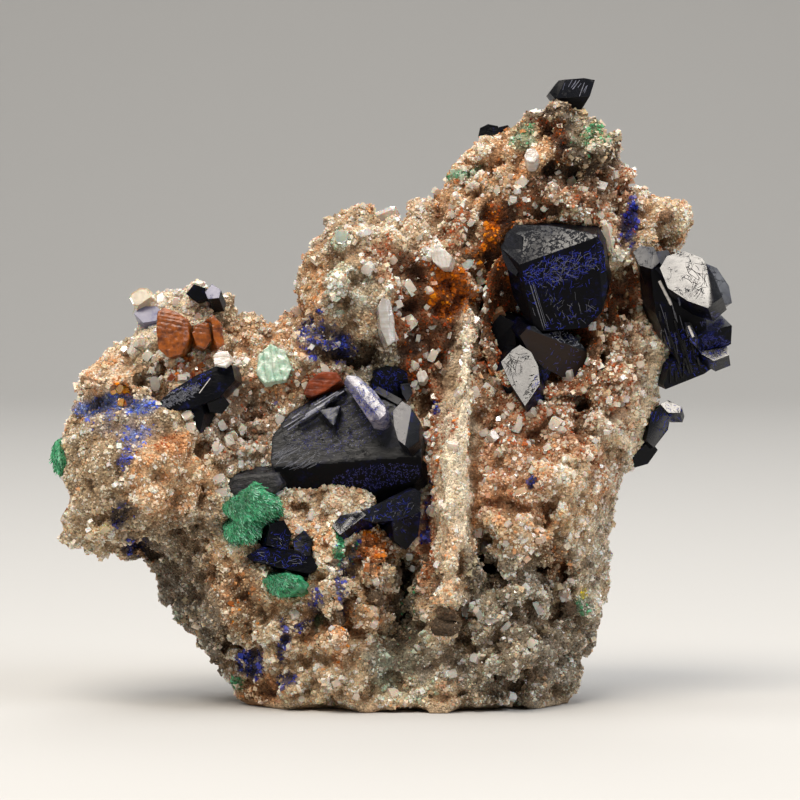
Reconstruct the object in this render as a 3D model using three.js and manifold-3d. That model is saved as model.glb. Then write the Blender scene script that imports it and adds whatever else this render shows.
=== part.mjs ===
// A hand-sized mineral specimen: dark azurite crystals and pale cerussite on a broken piece of ore,
// with malachite, an iron-stained hollow and a white rib down its front.
// Millimetres, +Z up. X runs to the viewer's right and -Y is towards the viewer.
import * as THREE from "three";
import { ConvexGeometry } from "three/addons/geometries/ConvexGeometry.js";
import { mergeVertices } from "three/addons/utils/BufferGeometryUtils.js";
import Module from "manifold-3d";

// Driving dimensions, in millimetres.
const SPECIMEN_WIDTH = 95; // malachite on the left edge to the last azurite on the right
const SIGHT_DISTANCE = 700; // the viewer's eye to the middle of the specimen
const SIGHT_ELEVATION = 3; // degrees that the viewer looks down
const AIM = { x: 0.98, y: 1.2, z: 43.4 }; // the point of the specimen in the middle of the picture
const FOOT_LEVEL = 1.2; // height of the flat foot over the lowest point seen
const GAP = 0.35; // between a crystal and the pocket that it grows in
const CRUST = { gap: 0.35, thickness: 1.5 }; // of the druse that lines the upper hollow
const ROCK = {
  block: { x: 102, z: 94 }, // a block that takes in the whole rock
  facet: 4.7, // mean width of the rock's facets
  rim: 1.3, // half the thickness of the thinnest broken edge
  round: 0.85, // radius of the rock's shoulders, as a share of its half depth
  reach: 4.5, // how far the height of a place that was read carries over the rock round it
  stray: { share: 0.42, size: 0.37 }, // of a facet's corner, as shares of a facet's width
  rimWander: { size: 9, height: 2.4 }, // of the broken edge between front and back
  rough: [
    { size: 11, height: 1.4 },
    { size: 5, height: 1.1 },
  ],
};
const PRISM_DEPTH = 120; // of the block that cuts the rock to its outline
const LUMP = { facetArea: 34, leastCorners: 10, mostCorners: 40, blunt: 0.8, rough: 0.1 };

// The picture that the pieces were read from: its middle, and the columns of the widest points.
const PICTURE = { middle: 400, left: 53, right: 733 };
const MM_PER_PIXEL = SPECIMEN_WIDTH / (PICTURE.right - PICTURE.left);

const wasm = await Module();
wasm.setup();

// Finishes.
const finish = (color, roughness, metalness = 0) =>
  new THREE.MeshStandardMaterial({ color, roughness, metalness, flatShading: true });
const FINISHES = {
  rock: finish(0xb5a48c, 0.9),
  druse: finish(0x8a4a22, 0.7),
  azurite: finish(0x11142c, 0.15),
  cerussite: {
    white: finish(0xe6ddd2, 0.25),
    clear: finish(0xf2efe8, 0.05),
    amber: finish(0xa65a1f, 0.4),
    green: finish(0xbcd9c2, 0.3),
  },
  malachite: finish(0x1f8a52, 0.6),
};

// Sight lines.
const degrees = THREE.MathUtils.degToRad;
const elevation = degrees(SIGHT_ELEVATION);
const forward = new THREE.Vector3(0, Math.cos(elevation), -Math.sin(elevation));
const upward = new THREE.Vector3(0, Math.sin(elevation), Math.cos(elevation));
const sideward = new THREE.Vector3(1, 0, 0);
const eye = new THREE.Vector3(AIM.x, AIM.y, AIM.z).addScaledVector(forward, -SIGHT_DISTANCE);

/** The line from the eye through a pixel of the picture. */
function sightLine(px, py) {
  const direction = forward
    .clone()
    .multiplyScalar(SIGHT_DISTANCE)
    .addScaledVector(sideward, (px - PICTURE.middle) * MM_PER_PIXEL)
    .addScaledVector(upward, (PICTURE.middle - py) * MM_PER_PIXEL);
  return new THREE.Ray(eye, direction.normalize());
}

/** Where the sight line through a pixel meets a plane. */
function onPlane(px, py, plane) {
  const line = sightLine(px, py);
  const t = -plane.distanceToPoint(line.origin) / plane.normal.dot(line.direction);
  return line.at(t, new THREE.Vector3());
}

/** The point seen at a pixel, so many millimetres in front of the specimen's middle plane. */
function at(px, py, front) {
  return onPlane(px, py, new THREE.Plane(new THREE.Vector3(0, 1, 0), front));
}

/** A unit vector: turned to the right and tilted up from facing the viewer, in degrees. */
function facing(turn, tilt) {
  const t = degrees(turn);
  const u = degrees(tilt);
  return new THREE.Vector3(Math.sin(t) * Math.cos(u), -Math.cos(t) * Math.cos(u), Math.sin(u));
}

/** Repeatable random numbers from 0 to 1, started from a name. */
function randomFrom(name) {
  let state = [...name].reduce((sum, letter) => Math.imul(sum, 31) + letter.charCodeAt(0), 7);
  return () => {
    state = (state + 0x6d2b79f5) | 0;
    let mixed = Math.imul(state ^ (state >>> 15), 1 | state);
    mixed = (mixed + Math.imul(mixed ^ (mixed >>> 7), 61 | mixed)) ^ mixed;
    return ((mixed ^ (mixed >>> 14)) >>> 0) / 4294967296;
  };
}

// Solids.

/** A closed three.js geometry as a solid. */
function solid(geometry) {
  const bare = new THREE.BufferGeometry().setAttribute("position", geometry.getAttribute("position"));
  if (geometry.index) bare.setIndex(geometry.index);
  const merged = mergeVertices(bare, 1e-4);
  return new wasm.Manifold(
    new wasm.Mesh({
      numProp: 3,
      vertProperties: merged.getAttribute("position").array,
      triVerts: new Uint32Array(merged.index.array),
    }),
  );
}

const join = (solids) => wasm.Manifold.union(solids);

/** The largest connected body of a solid, without crumbs that a cut left. */
function largest(whole) {
  const bodies = whole.decompose();
  return bodies.reduce((best, body) => (body.volume() > best.volume() ? body : best));
}

/** A solid as a named mesh. */
function mesh(name, whole, material) {
  const found = largest(whole).getMesh();
  const points = new Float32Array(found.numVert * 3);
  for (let i = 0; i < found.numVert; i++) {
    points.set(found.vertProperties.subarray(i * found.numProp, i * found.numProp + 3), i * 3);
  }
  const geometry = new THREE.BufferGeometry()
    .setAttribute("position", new THREE.BufferAttribute(points, 3))
    .setIndex(new THREE.BufferAttribute(found.triVerts, 1));
  const made = new THREE.Mesh(geometry, material);
  made.name = name;
  return made;
}

/**
 * The corners of a lump: points spread over a blunt ellipsoid, each moved in or out a little. wide and
 * tall are half sizes in pixels, deep is a half size in millimetres.
 */
function lumpCorners({ name, px, py, front, wide, tall, deep, turn = 0, rough = LUMP.rough }, grow) {
  const random = randomFrom(name);
  const half = new THREE.Vector3(wide * MM_PER_PIXEL, deep, tall * MM_PER_PIXEL);
  const area = (4 / 3) * Math.PI * (half.x * half.y + half.x * half.z + half.y * half.z);
  half.addScalar(grow);
  const count = Math.round(
    THREE.MathUtils.clamp(area / LUMP.facetArea, LUMP.leastCorners, LUMP.mostCorners),
  );
  const golden = Math.PI * (3 - Math.sqrt(5));
  const blunt = (value) => Math.sign(value) * Math.abs(value) ** LUMP.blunt;
  const corners = [];
  for (let i = 0; i < count; i++) {
    const height = 1 - (2 * i + 2 * random()) / count;
    const ring = Math.sqrt(1 - height * height);
    const corner = new THREE.Vector3(
      blunt(ring * Math.cos(i * golden)),
      blunt(ring * Math.sin(i * golden)),
      blunt(height),
    );
    corner.multiply(half).multiplyScalar(1 + rough * (2 * random() - 1));
    corner.applyAxisAngle(new THREE.Vector3(0, 1, 0), degrees(turn));
    corners.push(corner.add(at(px, py, front)));
  }
  return corners;
}

/** A lump of rock. */
const lump = (spec, grow = 0) => solid(new ConvexGeometry(lumpCorners(spec, grow)));

/** Lumps as one solid. */
const lumps = (specs, grow = 0) => join(specs.map((spec) => lump(spec, grow)));

/** A ridge that runs from lump to lump. */
function ridge(specs, grow = 0) {
  const rings = specs.map((spec) => lumpCorners(spec, grow));
  return join(rings.slice(1).map((ring, i) => solid(new ConvexGeometry([...rings[i], ...ring]))));
}

/** Repeatable smooth noise from -1 to 1 over the specimen's front, at a pattern size in millimetres. */
function noise(x, z, size, seed) {
  const corner = (i, j) => {
    const wave = Math.sin(i * 127.1 + j * 311.7 + seed * 74.7) * 43758.5453;
    return 2 * (wave - Math.floor(wave)) - 1;
  };
  const [u, v] = [x / size, z / size];
  const [i, j] = [Math.floor(u), Math.floor(v)];
  const ease = (t) => t * t * (3 - 2 * t);
  const low = THREE.MathUtils.lerp(corner(i, j), corner(i + 1, j), ease(u - i));
  const high = THREE.MathUtils.lerp(corner(i, j + 1), corner(i + 1, j + 1), ease(u - i));
  return THREE.MathUtils.lerp(low, high, ease(v - j));
}

/** The height at a place, from those read round it: a nearer one counts for more. */
function heightFrom(places, x, z) {
  let sum = 0;
  let weights = 0;
  for (const place of places) {
    const apart = (place.x - x) ** 2 + (place.z - z) ** 2;
    const weight = 1 / (apart + ROCK.reach ** 2) ** 2;
    sum += weight * place.height;
    weights += weight;
  }
  return sum / weights;
}

/**
 * How far a place is inside the rock's outline, not counting its foot; negative outside. The
 * outline's corners hold the specimen's z in their y.
 */
function insideBy(outline, x, z) {
  let nearest = Infinity;
  let inside = false;
  const point = new THREE.Vector3(x, z, 0);
  outline.forEach((a, i) => {
    const b = outline[(i + 1) % outline.length];
    if (a.y > z !== b.y > z && x < a.x + ((z - a.y) / (b.y - a.y)) * (b.x - a.x)) inside = !inside;
    if (a.y < 1 && b.y < 1) return;
    const side = new THREE.Line3(new THREE.Vector3(a.x, a.y, 0), new THREE.Vector3(b.x, b.y, 0));
    const closest = side.closestPointToPoint(point, true, new THREE.Vector3());
    nearest = Math.min(nearest, closest.distanceTo(point));
  });
  return inside ? nearest : -nearest;
}

/** The body of the rock: a block whose front and back are moved to the heights read, cut to its outline. */
function rockBody() {
  const corners = OUTLINE.map(([px, py]) => at(px, py, RIM_FRONT));
  const outline = corners.map((corner) => new THREE.Vector2(corner.x, corner.z));
  const heights = (places) => places.map(([px, py, height]) => ({ ...at(px, py, height), height }));
  const fronts = heights(FRONT_HEIGHTS);
  const backs = heights(BACK_DEPTHS.map(([px, py, depth]) => [px, py, -depth]));
  const { block, facet, stray, rimWander } = ROCK;
  const body = new THREE.BoxGeometry(
    block.x, 2, block.z,
    Math.round(block.x / facet), 1, Math.round(block.z / facet),
  ).translate(0, 0, block.z / 2 - facet / 3);
  const places = body.getAttribute("position");
  for (let i = 0; i < places.count; i++) {
    const isFront = places.getY(i) < 0;
    const seed = isFront ? 1 : 5;
    const shift = (pattern) =>
      facet * stray.share * noise(places.getX(i), places.getZ(i), facet * stray.size, seed + pattern);
    const x = places.getX(i) + shift(2);
    const z = places.getZ(i) + shift(3);
    const front = heightFrom(fronts, x, z);
    const back = heightFrom(backs, x, z);
    const rim = (front + back) / 2 + rimWander.height * noise(x, z, rimWander.size, 4);
    const target = isFront ? front : back;
    const inwards = Math.max(insideBy(outline, x, z), 0) / (ROCK.round * Math.abs(target - rim) + 1);
    const swell = Math.sqrt(1 - (1 - Math.min(inwards, 1)) ** 2);
    const waves = ROCK.rough.map(({ size, height }) => height * noise(x, z, size, seed + size));
    const rough = waves.reduce((sum, wave) => sum + wave);
    const proud = Math.max(Math.abs(target - rim) * swell + rough * Math.min(1, swell + 0.25), ROCK.rim);
    places.setXYZ(i, x, isFront ? -(rim + proud) : -(rim - proud), z);
  }
  const cutter = new THREE.ExtrudeGeometry(new THREE.Shape(outline), {
    depth: PRISM_DEPTH,
    bevelEnabled: false,
  })
    .rotateX(Math.PI / 2)
    .translate(0, PRISM_DEPTH / 2, 0);
  return solid(body).intersect(solid(cutter));
}

/** The point where three planes meet, or null. */
function meeting(a, b, c) {
  const bc = new THREE.Vector3().crossVectors(b.normal, c.normal);
  const volume = a.normal.dot(bc);
  if (Math.abs(volume) < 1e-6) return null;
  const ca = new THREE.Vector3().crossVectors(c.normal, a.normal);
  const ab = new THREE.Vector3().crossVectors(a.normal, b.normal);
  return bc
    .multiplyScalar(-a.constant)
    .addScaledVector(ca, -b.constant)
    .addScaledVector(ab, -c.constant)
    .divideScalar(volume);
}

/** The solid that lies behind all the planes. */
function polyhedron(planes) {
  const corners = [];
  for (let i = 0; i < planes.length; i++) {
    for (let j = i + 1; j < planes.length; j++) {
      for (let k = j + 1; k < planes.length; k++) {
        const corner = meeting(planes[i], planes[j], planes[k]);
        if (!corner || planes.some((plane) => plane.distanceToPoint(corner) > 1e-4)) continue;
        if (corners.every((other) => other.distanceTo(corner) > 1e-2)) corners.push(corner);
      }
    }
  }
  return solid(new ConvexGeometry(corners));
}

/**
 * A crystal with flat faces. Its main face has the given outline in the picture, its middle so far
 * front, and faces (turn, tilt). Its sides run back square to that face, flared outwards by flare
 * degrees, to its thickness. Each crease is a line across the outline beyond which the crystal bends
 * back by lean degrees.
 */
function crystal({ outline, front, turn = 0, tilt = 0, thickness, flare = 0, creases = [] }, grow = 0) {
  const mean = (list) => list.reduce((sum, value) => sum + value, 0) / list.length;
  const middle = at(mean(outline.map((p) => p[0])), mean(outline.map((p) => p[1])), front);
  const normal = facing(turn, tilt);
  const face = new THREE.Plane().setFromNormalAndCoplanarPoint(normal, middle);
  const planeBeside = (from, to, lean) => {
    const a = onPlane(...from, face);
    const b = onPlane(...to, face);
    const outward = new THREE.Vector3().crossVectors(b.clone().sub(a), normal).normalize();
    if (outward.dot(a.clone().sub(middle)) < 0) outward.negate();
    const slope = degrees(lean);
    const across = outward.multiplyScalar(Math.sin(slope)).addScaledVector(normal, Math.cos(slope));
    return new THREE.Plane().setFromNormalAndCoplanarPoint(across, a);
  };
  const planes = [
    face,
    new THREE.Plane().setFromNormalAndCoplanarPoint(
      normal.clone().negate(),
      middle.clone().addScaledVector(normal, -thickness),
    ),
    ...outline.map((from, i) => planeBeside(from, outline[(i + 1) % outline.length], 90 - flare)),
    ...creases.map(({ from, to, lean }) => planeBeside(from, to, lean)),
  ];
  planes.forEach((plane) => (plane.constant -= grow));
  return polyhedron(planes);
}

// The rock's outline in the picture, clockwise from the lower left. Its foot is cut off flat.
const RIM_FRONT = -1;
const OUTLINE = [
  [262, 722], [240, 696], [218, 672], [190, 641], [175, 612], [158, 602], [150, 576], [142, 554],
  [134, 562], [108, 562], [88, 555], [74, 544], [67, 528], [66, 500], [70, 440], [62, 416], [76, 392],
  [80, 372], [98, 351], [120, 344], [138, 323], [130, 302], [138, 290], [154, 289], [162, 298],
  [178, 285], [192, 277], [220, 288], [232, 292], [230, 312], [238, 322], [268, 324], [286, 318],
  [298, 300], [302, 246], [312, 230], [330, 219], [346, 207], [364, 205], [386, 214], [402, 220],
  [418, 204], [440, 190], [446, 165], [470, 150], [494, 132], [526, 121], [541, 108], [558, 99],
  [578, 110], [604, 121], [619, 142], [625, 168], [636, 184], [652, 185], [680, 204], [697, 216],
  [697, 234], [680, 262], [662, 300], [650, 322], [672, 345], [664, 366], [661, 400], [661, 425],
  [654, 452], [624, 475], [621, 506], [612, 545], [615, 562], [611, 600], [597, 627], [581, 668],
  [571, 696], [558, 722],
];

// Places on the rock's front and how far each stands towards the viewer: [column, row, millimetres].
const FRONT_HEIGHTS = [
  [562, 122, 3], [520, 142, 2.5], [560, 165, 5], [604, 150, 3], [480, 160, 1.5], [455, 190, 1.5],
  [530, 208, 4.5], [600, 205, 4], [575, 185, 5.5], [650, 205, 3], [668, 228, 4.5], [640, 240, 3],
  [430, 222, 3], [470, 240, 3.5], [440, 290, 5], [425, 340, 6], [500, 225, 3.5],
  [350, 222, 6], [350, 262, 12.5], [325, 300, 12], [372, 300, 12.5], [330, 330, 13], [385, 335, 10.5],
  [410, 262, 8.5], [405, 300, 8.5], [375, 362, 2.5], [350, 372, 4], [305, 362, 8.5], [300, 385, 8],
  [262, 345, 5.5], [232, 345, 6], [245, 385, 8.5], [200, 322, 6.5], [198, 292, 4], [150, 304, 4],
  [170, 340, 5.5], [150, 365, 8.5], [120, 360, 7], [92, 372, 8.5], [110, 388, 12.5], [88, 405, 11],
  [160, 392, 9.5], [205, 400, 7.5], [130, 408, 10], [120, 430, 16.5], [165, 430, 15],
  [140, 475, 19], [95, 470, 14.5], [100, 520, 15], [150, 520, 16.5], [185, 460, 15.5], [205, 500, 13],
  [225, 420, 8], [245, 440, 6.5], [268, 410, 6], [232, 470, 10.5], [215, 540, 9.5],
  [160, 575, 4], [190, 590, 9], [235, 600, 13.5], [225, 635, 12], [250, 668, 11.5], [285, 640, 15.5],
  [290, 595, 14.5], [262, 555, 10.5], [300, 530, 11.5], [330, 512, 14.5], [360, 530, 14], [345, 560, 17],
  [320, 690, 14.5], [350, 660, 17], [400, 640, 16], [420, 690, 16.5], [480, 690, 16], [540, 690, 13],
  [340, 610, 17.5], [385, 575, 14], [424, 505, 8.5], [430, 450, 8], [425, 560, 11.5], [420, 610, 12],
  [484, 440, 10], [505, 470, 14], [492, 520, 12.5], [476, 600, 12.5], [470, 640, 15], [520, 600, 15],
  [510, 650, 16], [560, 640, 12], [590, 600, 7], [600, 540, 8], [560, 540, 14.5], [560, 480, 15],
  [600, 480, 9.5], [540, 440, 11.5], [590, 440, 9.5], [630, 455, 4], [645, 420, 5.5], [620, 400, 9.5],
  [600, 370, 8.5], [640, 360, 7.5], [625, 330, 6.5], [620, 290, 3.5], [612, 240, 4], [640, 300, 1],
  [655, 280, -1], [560, 400, 7.5], [520, 415, 8.5], [490, 400, 8], [475, 300, 4], [480, 350, 4.5],
  [320, 440, 3], [380, 440, 3.5], [300, 480, 6.5], [390, 490, 7], [402, 530, 6.5], [360, 505, 11],
];

// Places on its back, and how far each stands away from the viewer.
const BACK_DEPTHS = [
  [430, 560, 26], [330, 590, 22], [250, 590, 16], [520, 560, 25], [590, 560, 17], [430, 480, 25],
  [360, 690, 21], [460, 690, 23], [540, 680, 17], [260, 680, 15], [150, 480, 9], [95, 480, 6],
  [110, 390, 6], [190, 400, 12], [190, 320, 9], [150, 300, 5], [270, 370, 13], [280, 480, 19],
  [350, 280, 11], [350, 400, 19], [410, 350, 18], [450, 250, 14], [530, 300, 22], [600, 320, 19],
  [560, 170, 14], [560, 120, 10], [660, 220, 11], [500, 400, 25], [600, 440, 18], [650, 380, 13],
  [480, 200, 13], [540, 240, 18], [180, 560, 11], [400, 620, 25],
];

// Knobs that stand out of the body, and the thin ridge of the brow over the hollow.
const KNOBS = [
  { name: "peak", px: 566, py: 168, front: -1, wide: 30, tall: 22, deep: 8 },
  { name: "peak_top", px: 560, py: 122, front: -3, wide: 20, tall: 17, deep: 6.5 },
  { name: "peak_east", px: 600, py: 152, front: -3, wide: 18, tall: 26, deep: 7 },
  { name: "brow_west", px: 500, py: 196, front: -3, wide: 28, tall: 14, deep: 7.5 },
  { name: "brow_east", px: 588, py: 208, front: -2, wide: 32, tall: 14, deep: 7.5 },
  { name: "north_east", px: 668, py: 216, front: -2, wide: 22, tall: 20, deep: 7 },
  { name: "tower_head", px: 352, py: 236, front: 3, wide: 32, tall: 20, deep: 7 },
  { name: "tower_cheek", px: 330, py: 288, front: 6, wide: 24, tall: 28, deep: 7.5 },
  { name: "north_west_head", px: 196, py: 296, front: -1, wide: 21, tall: 16, deep: 6 },
  { name: "north_west_knob", px: 148, py: 303, front: -1, wide: 17, tall: 13, deep: 5.5 },
  { name: "west_lip", px: 104, py: 384, front: 5, wide: 34, tall: 13, deep: 9 },
  { name: "west_lobe", px: 142, py: 470, front: 6, wide: 58, tall: 54, deep: 13 },
  { name: "west_lobe_foot", px: 105, py: 524, front: 5, wide: 28, tall: 26, deep: 10 },
  { name: "saddle_rock", px: 318, py: 342, front: 4, wide: 30, tall: 18, deep: 9 },
  { name: "south_west", px: 236, py: 600, front: 2, wide: 40, tall: 40, deep: 12 },
  { name: "south", px: 350, py: 668, front: 2, wide: 60, tall: 30, deep: 15.5 },
  { name: "south_east", px: 508, py: 650, front: 2, wide: 48, tall: 36, deep: 14.5 },
  { name: "east_bench", px: 545, py: 480, front: 2, wide: 48, tall: 34, deep: 13 },
  { name: "east_shoulder", px: 620, py: 395, front: -1, wide: 28, tall: 42, deep: 10 },
  { name: "east_heel", px: 584, py: 600, front: -4, wide: 22, tall: 32, deep: 12 },
];

// The rib down the front, and lesser upright ridges beside it.
const RIB = [
  { name: "rib_1", px: 467, py: 306, front: 3, wide: 7, tall: 9, deep: 6 },
  { name: "rib_2", px: 466, py: 345, front: 4, wide: 12, tall: 14, deep: 7.5 },
  { name: "rib_3", px: 463, py: 392, front: 6, wide: 15, tall: 15, deep: 8.5 },
  { name: "rib_4", px: 452, py: 440, front: 9, wide: 23, tall: 20, deep: 9.5 },
  { name: "rib_5", px: 455, py: 492, front: 10, wide: 23, tall: 20, deep: 10.5 },
  { name: "rib_6", px: 450, py: 548, front: 11, wide: 22, tall: 20, deep: 10.5 },
  { name: "rib_7", px: 449, py: 598, front: 10, wide: 18, tall: 18, deep: 10.5 },
  { name: "rib_8", px: 444, py: 636, front: 9, wide: 11, tall: 12, deep: 9.5 },
];
const RIDGES = [
  [
    { name: "west_ridge_top", px: 337, py: 552, front: 10, wide: 9, tall: 10, deep: 8 },
    { name: "west_ridge_foot", px: 338, py: 640, front: 11, wide: 12, tall: 14, deep: 8 },
  ],
  [
    { name: "cavity_ridge_top", px: 378, py: 548, front: 9, wide: 9, tall: 10, deep: 7 },
    { name: "cavity_ridge_foot", px: 372, py: 636, front: 10, wide: 12, tall: 12, deep: 7 },
  ],
  [
    { name: "east_ridge_top", px: 520, py: 520, front: 9, wide: 13, tall: 12, deep: 7 },
    { name: "east_ridge_foot", px: 516, py: 590, front: 9, wide: 14, tall: 14, deep: 7.5 },
  ],
];

// Spaces in the rock's front.
const UPPER_HOLLOW = {
  name: "upper_hollow", px: 545, py: 315, front: 10, wide: 72, tall: 96, deep: 14, rough: 0.06,
};
const CAVITIES = [
  { name: "slab_shadow", px: 386, py: 376, front: 14, wide: 32, tall: 18, deep: 12 },
  { name: "tall_cavity", px: 404, py: 590, front: 18, wide: 16, tall: 50, deep: 12 },
  { name: "rib_cavity", px: 483, py: 562, front: 18, wide: 14, tall: 28, deep: 10 },
  { name: "crevice", px: 548, py: 568, front: 16, wide: 8, tall: 40, deep: 8, turn: 8 },
  { name: "foot_hole", px: 512, py: 684, front: 18, wide: 12, tall: 8, deep: 5 },
  { name: "round_hole", px: 391, py: 681, front: 18, wide: 8, tall: 7, deep: 4 },
  { name: "shelf_notch", px: 122, py: 405, front: 16, wide: 44, tall: 5, deep: 6, turn: -4 },
  { name: "left_undercut", px: 146, py: 560, front: 14, wide: 22, tall: 9, deep: 8, turn: 24 },
];

// Azurite.
const AZURITE = {
  azurite_block: [
    {
      outline: [
        [501, 250], [504, 238], [518, 225], [550, 229], [592, 228], [603, 246], [608, 285],
        [602, 312], [586, 328], [532, 332], [512, 300],
      ],
      front: 7.5, turn: -6, tilt: -8, thickness: 11,
      creases: [
        { from: [521, 264], to: [594, 238], lean: 42 },
        { from: [519, 262], to: [535, 330], lean: 48 },
        { from: [596, 240], to: [604, 310], lean: 30 },
      ],
    },
    {
      outline: [[502, 256], [501, 246], [512, 232], [522, 236], [524, 262], [516, 276], [508, 270]],
      front: 5.5, turn: -22, tilt: 12, thickness: 6,
    },
  ],
  azurite_tablets: [
    {
      outline: [
        [520, 336], [528, 327], [556, 328], [574, 336], [587, 350], [587, 364], [580, 377],
        [562, 377], [544, 368], [530, 354],
      ],
      front: 5.5, turn: 14, tilt: -12, thickness: 6,
      creases: [{ from: [530, 330], to: [587, 352], lean: 40 }],
    },
    {
      outline: [
        [501, 362], [512, 350], [520, 345], [531, 352], [538, 366], [540, 384], [525, 406],
        [510, 383],
      ],
      front: 8.5, turn: -12, tilt: 26, thickness: 7,
    },
    {
      outline: [
        [478, 345], [484, 325], [500, 315], [514, 322], [516, 345], [506, 372], [492, 378],
        [480, 362],
      ],
      front: 1.5, turn: -18, tilt: -6, thickness: 8,
    },
    {
      outline: [[496, 372], [508, 352], [540, 352], [551, 372], [540, 394], [526, 408], [508, 398]],
      front: 4.8, turn: 4, tilt: -10, thickness: 8,
    },
  ],
  azurite_slab: [
    {
      outline: [
        [270, 462], [272, 436], [290, 410], [322, 393], [348, 386], [382, 398], [414, 414],
        [423, 442], [419, 470], [396, 489], [340, 496], [288, 496],
      ],
      front: 11, turn: -10, tilt: 20, thickness: 12,
      creases: [
        { from: [270, 468], to: [421, 456], lean: 52 },
        { from: [279, 424], to: [346, 388], lean: 24 },
      ],
    },
    {
      outline: [
        [275, 441], [283, 424], [304, 406], [344, 388], [352, 396], [312, 417], [291, 434],
        [281, 450],
      ],
      front: 10.6, turn: -14, tilt: 24, thickness: 6,
    },
    {
      outline: [[318, 409], [341, 405], [334, 426]],
      front: 11.6, turn: -4, tilt: 30, thickness: 4,
    },
    {
      outline: [[221, 484], [228, 469], [250, 463], [274, 467], [283, 482], [270, 497], [240, 500]],
      front: 10, turn: -12, tilt: 14, thickness: 8,
      creases: [{ from: [222, 478], to: [280, 474], lean: 38 }],
    },
  ],
  azurite_glint: [
    {
      outline: [
        [393, 411], [402, 401], [411, 407], [419, 419], [418, 438], [408, 448], [398, 440],
        [394, 426],
      ],
      front: 15.5, turn: -10, tilt: 24, thickness: 4.2,
      creases: [{ from: [412, 406], to: [405, 446], lean: 34 }],
    },
  ],
  azurite_splinters: [
    {
      outline: [[368, 394], [377, 371], [394, 365], [407, 372], [410, 392], [401, 402], [384, 399]],
      front: 5.6, turn: 12, tilt: -8, thickness: 5.5,
    },
    {
      outline: [[373, 391], [378, 386], [402, 399], [398, 405]],
      front: 7.6, turn: -20, tilt: 40, thickness: 3.4,
    },
    {
      outline: [[401, 384], [410, 383], [413, 393], [407, 402], [402, 394]],
      front: 6.8, turn: 16, tilt: 12, thickness: 3.4,
    },
  ],
  azurite_lower_blades: [
    {
      outline: [[332, 526], [340, 516], [360, 510], [366, 515], [352, 526], [340, 535]],
      front: 13.4, turn: -16, tilt: 26, thickness: 6,
    },
    {
      outline: [[352, 516], [380, 502], [410, 486], [421, 492], [420, 512], [398, 520], [372, 522]],
      front: 12.6, turn: 8, tilt: 10, thickness: 7,
      creases: [{ from: [358, 514], to: [416, 488], lean: 46 }],
    },
    {
      outline: [[392, 522], [410, 506], [421, 512], [418, 536], [406, 550], [394, 540]],
      front: 11.5, turn: 20, tilt: -4, thickness: 7,
    },
  ],
  azurite_west_blades: [
    {
      outline: [
        [246, 556], [262, 547], [292, 549], [312, 556], [319, 568], [306, 575], [280, 568],
        [254, 563],
      ],
      front: 13.6, turn: -6, tilt: 12, thickness: 7,
    },
    {
      outline: [[266, 545], [270, 524], [284, 520], [292, 534], [288, 550]],
      front: 13, turn: 14, tilt: 8, thickness: 7,
    },
    {
      outline: [[292, 540], [304, 530], [312, 540], [310, 556], [296, 556]],
      front: 13.2, turn: -14, tilt: 18, thickness: 6,
    },
  ],
  azurite_fan: [
    {
      outline: [
        [660, 268], [667, 256], [684, 251], [702, 258], [713, 274], [722, 296], [708, 308],
        [688, 301], [668, 288],
      ],
      front: 8, turn: -12, tilt: 24, thickness: 5,
      creases: [{ from: [704, 256], to: [716, 308], lean: 16 }],
    },
    {
      outline: [[702, 262], [717, 268], [729, 286], [732, 303], [718, 307], [704, 304], [698, 284]],
      front: 5, turn: 18, tilt: 16, thickness: 4,
    },
    {
      outline: [[633, 252], [640, 246], [654, 247], [660, 262], [652, 269], [639, 265]],
      front: 5.2, turn: -14, tilt: 34, thickness: 5,
    },
    {
      outline: [[652, 252], [668, 250], [673, 258], [664, 272], [656, 268]],
      front: 4.8, turn: 10, tilt: 30, thickness: 5,
    },
    {
      outline: [
        [650, 266], [662, 266], [708, 312], [704, 345], [694, 364], [683, 366], [668, 346],
        [656, 314],
      ],
      front: 4, turn: 12, tilt: -10, thickness: 9,
      creases: [{ from: [656, 270], to: [700, 318], lean: 28 }],
    },
    {
      outline: [[698, 332], [712, 316], [722, 314], [732, 326], [731, 344], [716, 353], [700, 350]],
      front: 3.2, turn: 10, tilt: -6, thickness: 6,
      creases: [{ from: [700, 334], to: [732, 325], lean: 58 }],
    },
    {
      outline: [[684, 322], [690, 322], [698, 338], [697, 348], [690, 342]],
      front: 6, turn: -18, tilt: 20, thickness: 4,
    },
    {
      outline: [[700, 353], [712, 349], [727, 347], [729, 355], [714, 361]],
      front: 4.4, turn: -8, tilt: 28, thickness: 3.4,
    },
    {
      outline: [
        [670, 364], [690, 350], [716, 356], [724, 366], [704, 374], [670, 398], [664, 386],
      ],
      front: 1.4, turn: 16, tilt: -6, thickness: 7,
    },
  ],
  azurite_tail: [
    {
      outline: [[652, 412], [664, 404], [672, 412], [668, 430], [654, 448], [646, 440]],
      front: 0.6, turn: 18, tilt: 6, thickness: 6,
    },
    {
      outline: [[632, 456], [650, 440], [658, 450], [648, 464], [634, 468]],
      front: -0.4, turn: 16, tilt: -12, thickness: 6,
    },
    {
      outline: [[660, 404], [668, 400], [682, 407], [680, 413], [668, 413]],
      front: 0.8, turn: -10, tilt: 26, thickness: 3.4,
    },
  ],
  azurite_tip: [
    {
      outline: [
        [550, 92], [559, 80], [584, 78], [595, 80], [590, 96], [580, 113], [568, 108], [556, 100],
      ],
      front: -4.6, turn: 6, tilt: 8, thickness: 4,
      creases: [
        { from: [556, 100], to: [564, 82], lean: 26 },
        { from: [560, 98], to: [592, 96], lean: 30 },
      ],
    },
  ],
  azurite_bead: [
    {
      outline: [[478, 137], [480, 128], [488, 124], [498, 126], [500, 134], [494, 142], [484, 144]],
      front: -6, turn: -10, tilt: 10, thickness: 4.5, flare: -12,
    },
    {
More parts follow.
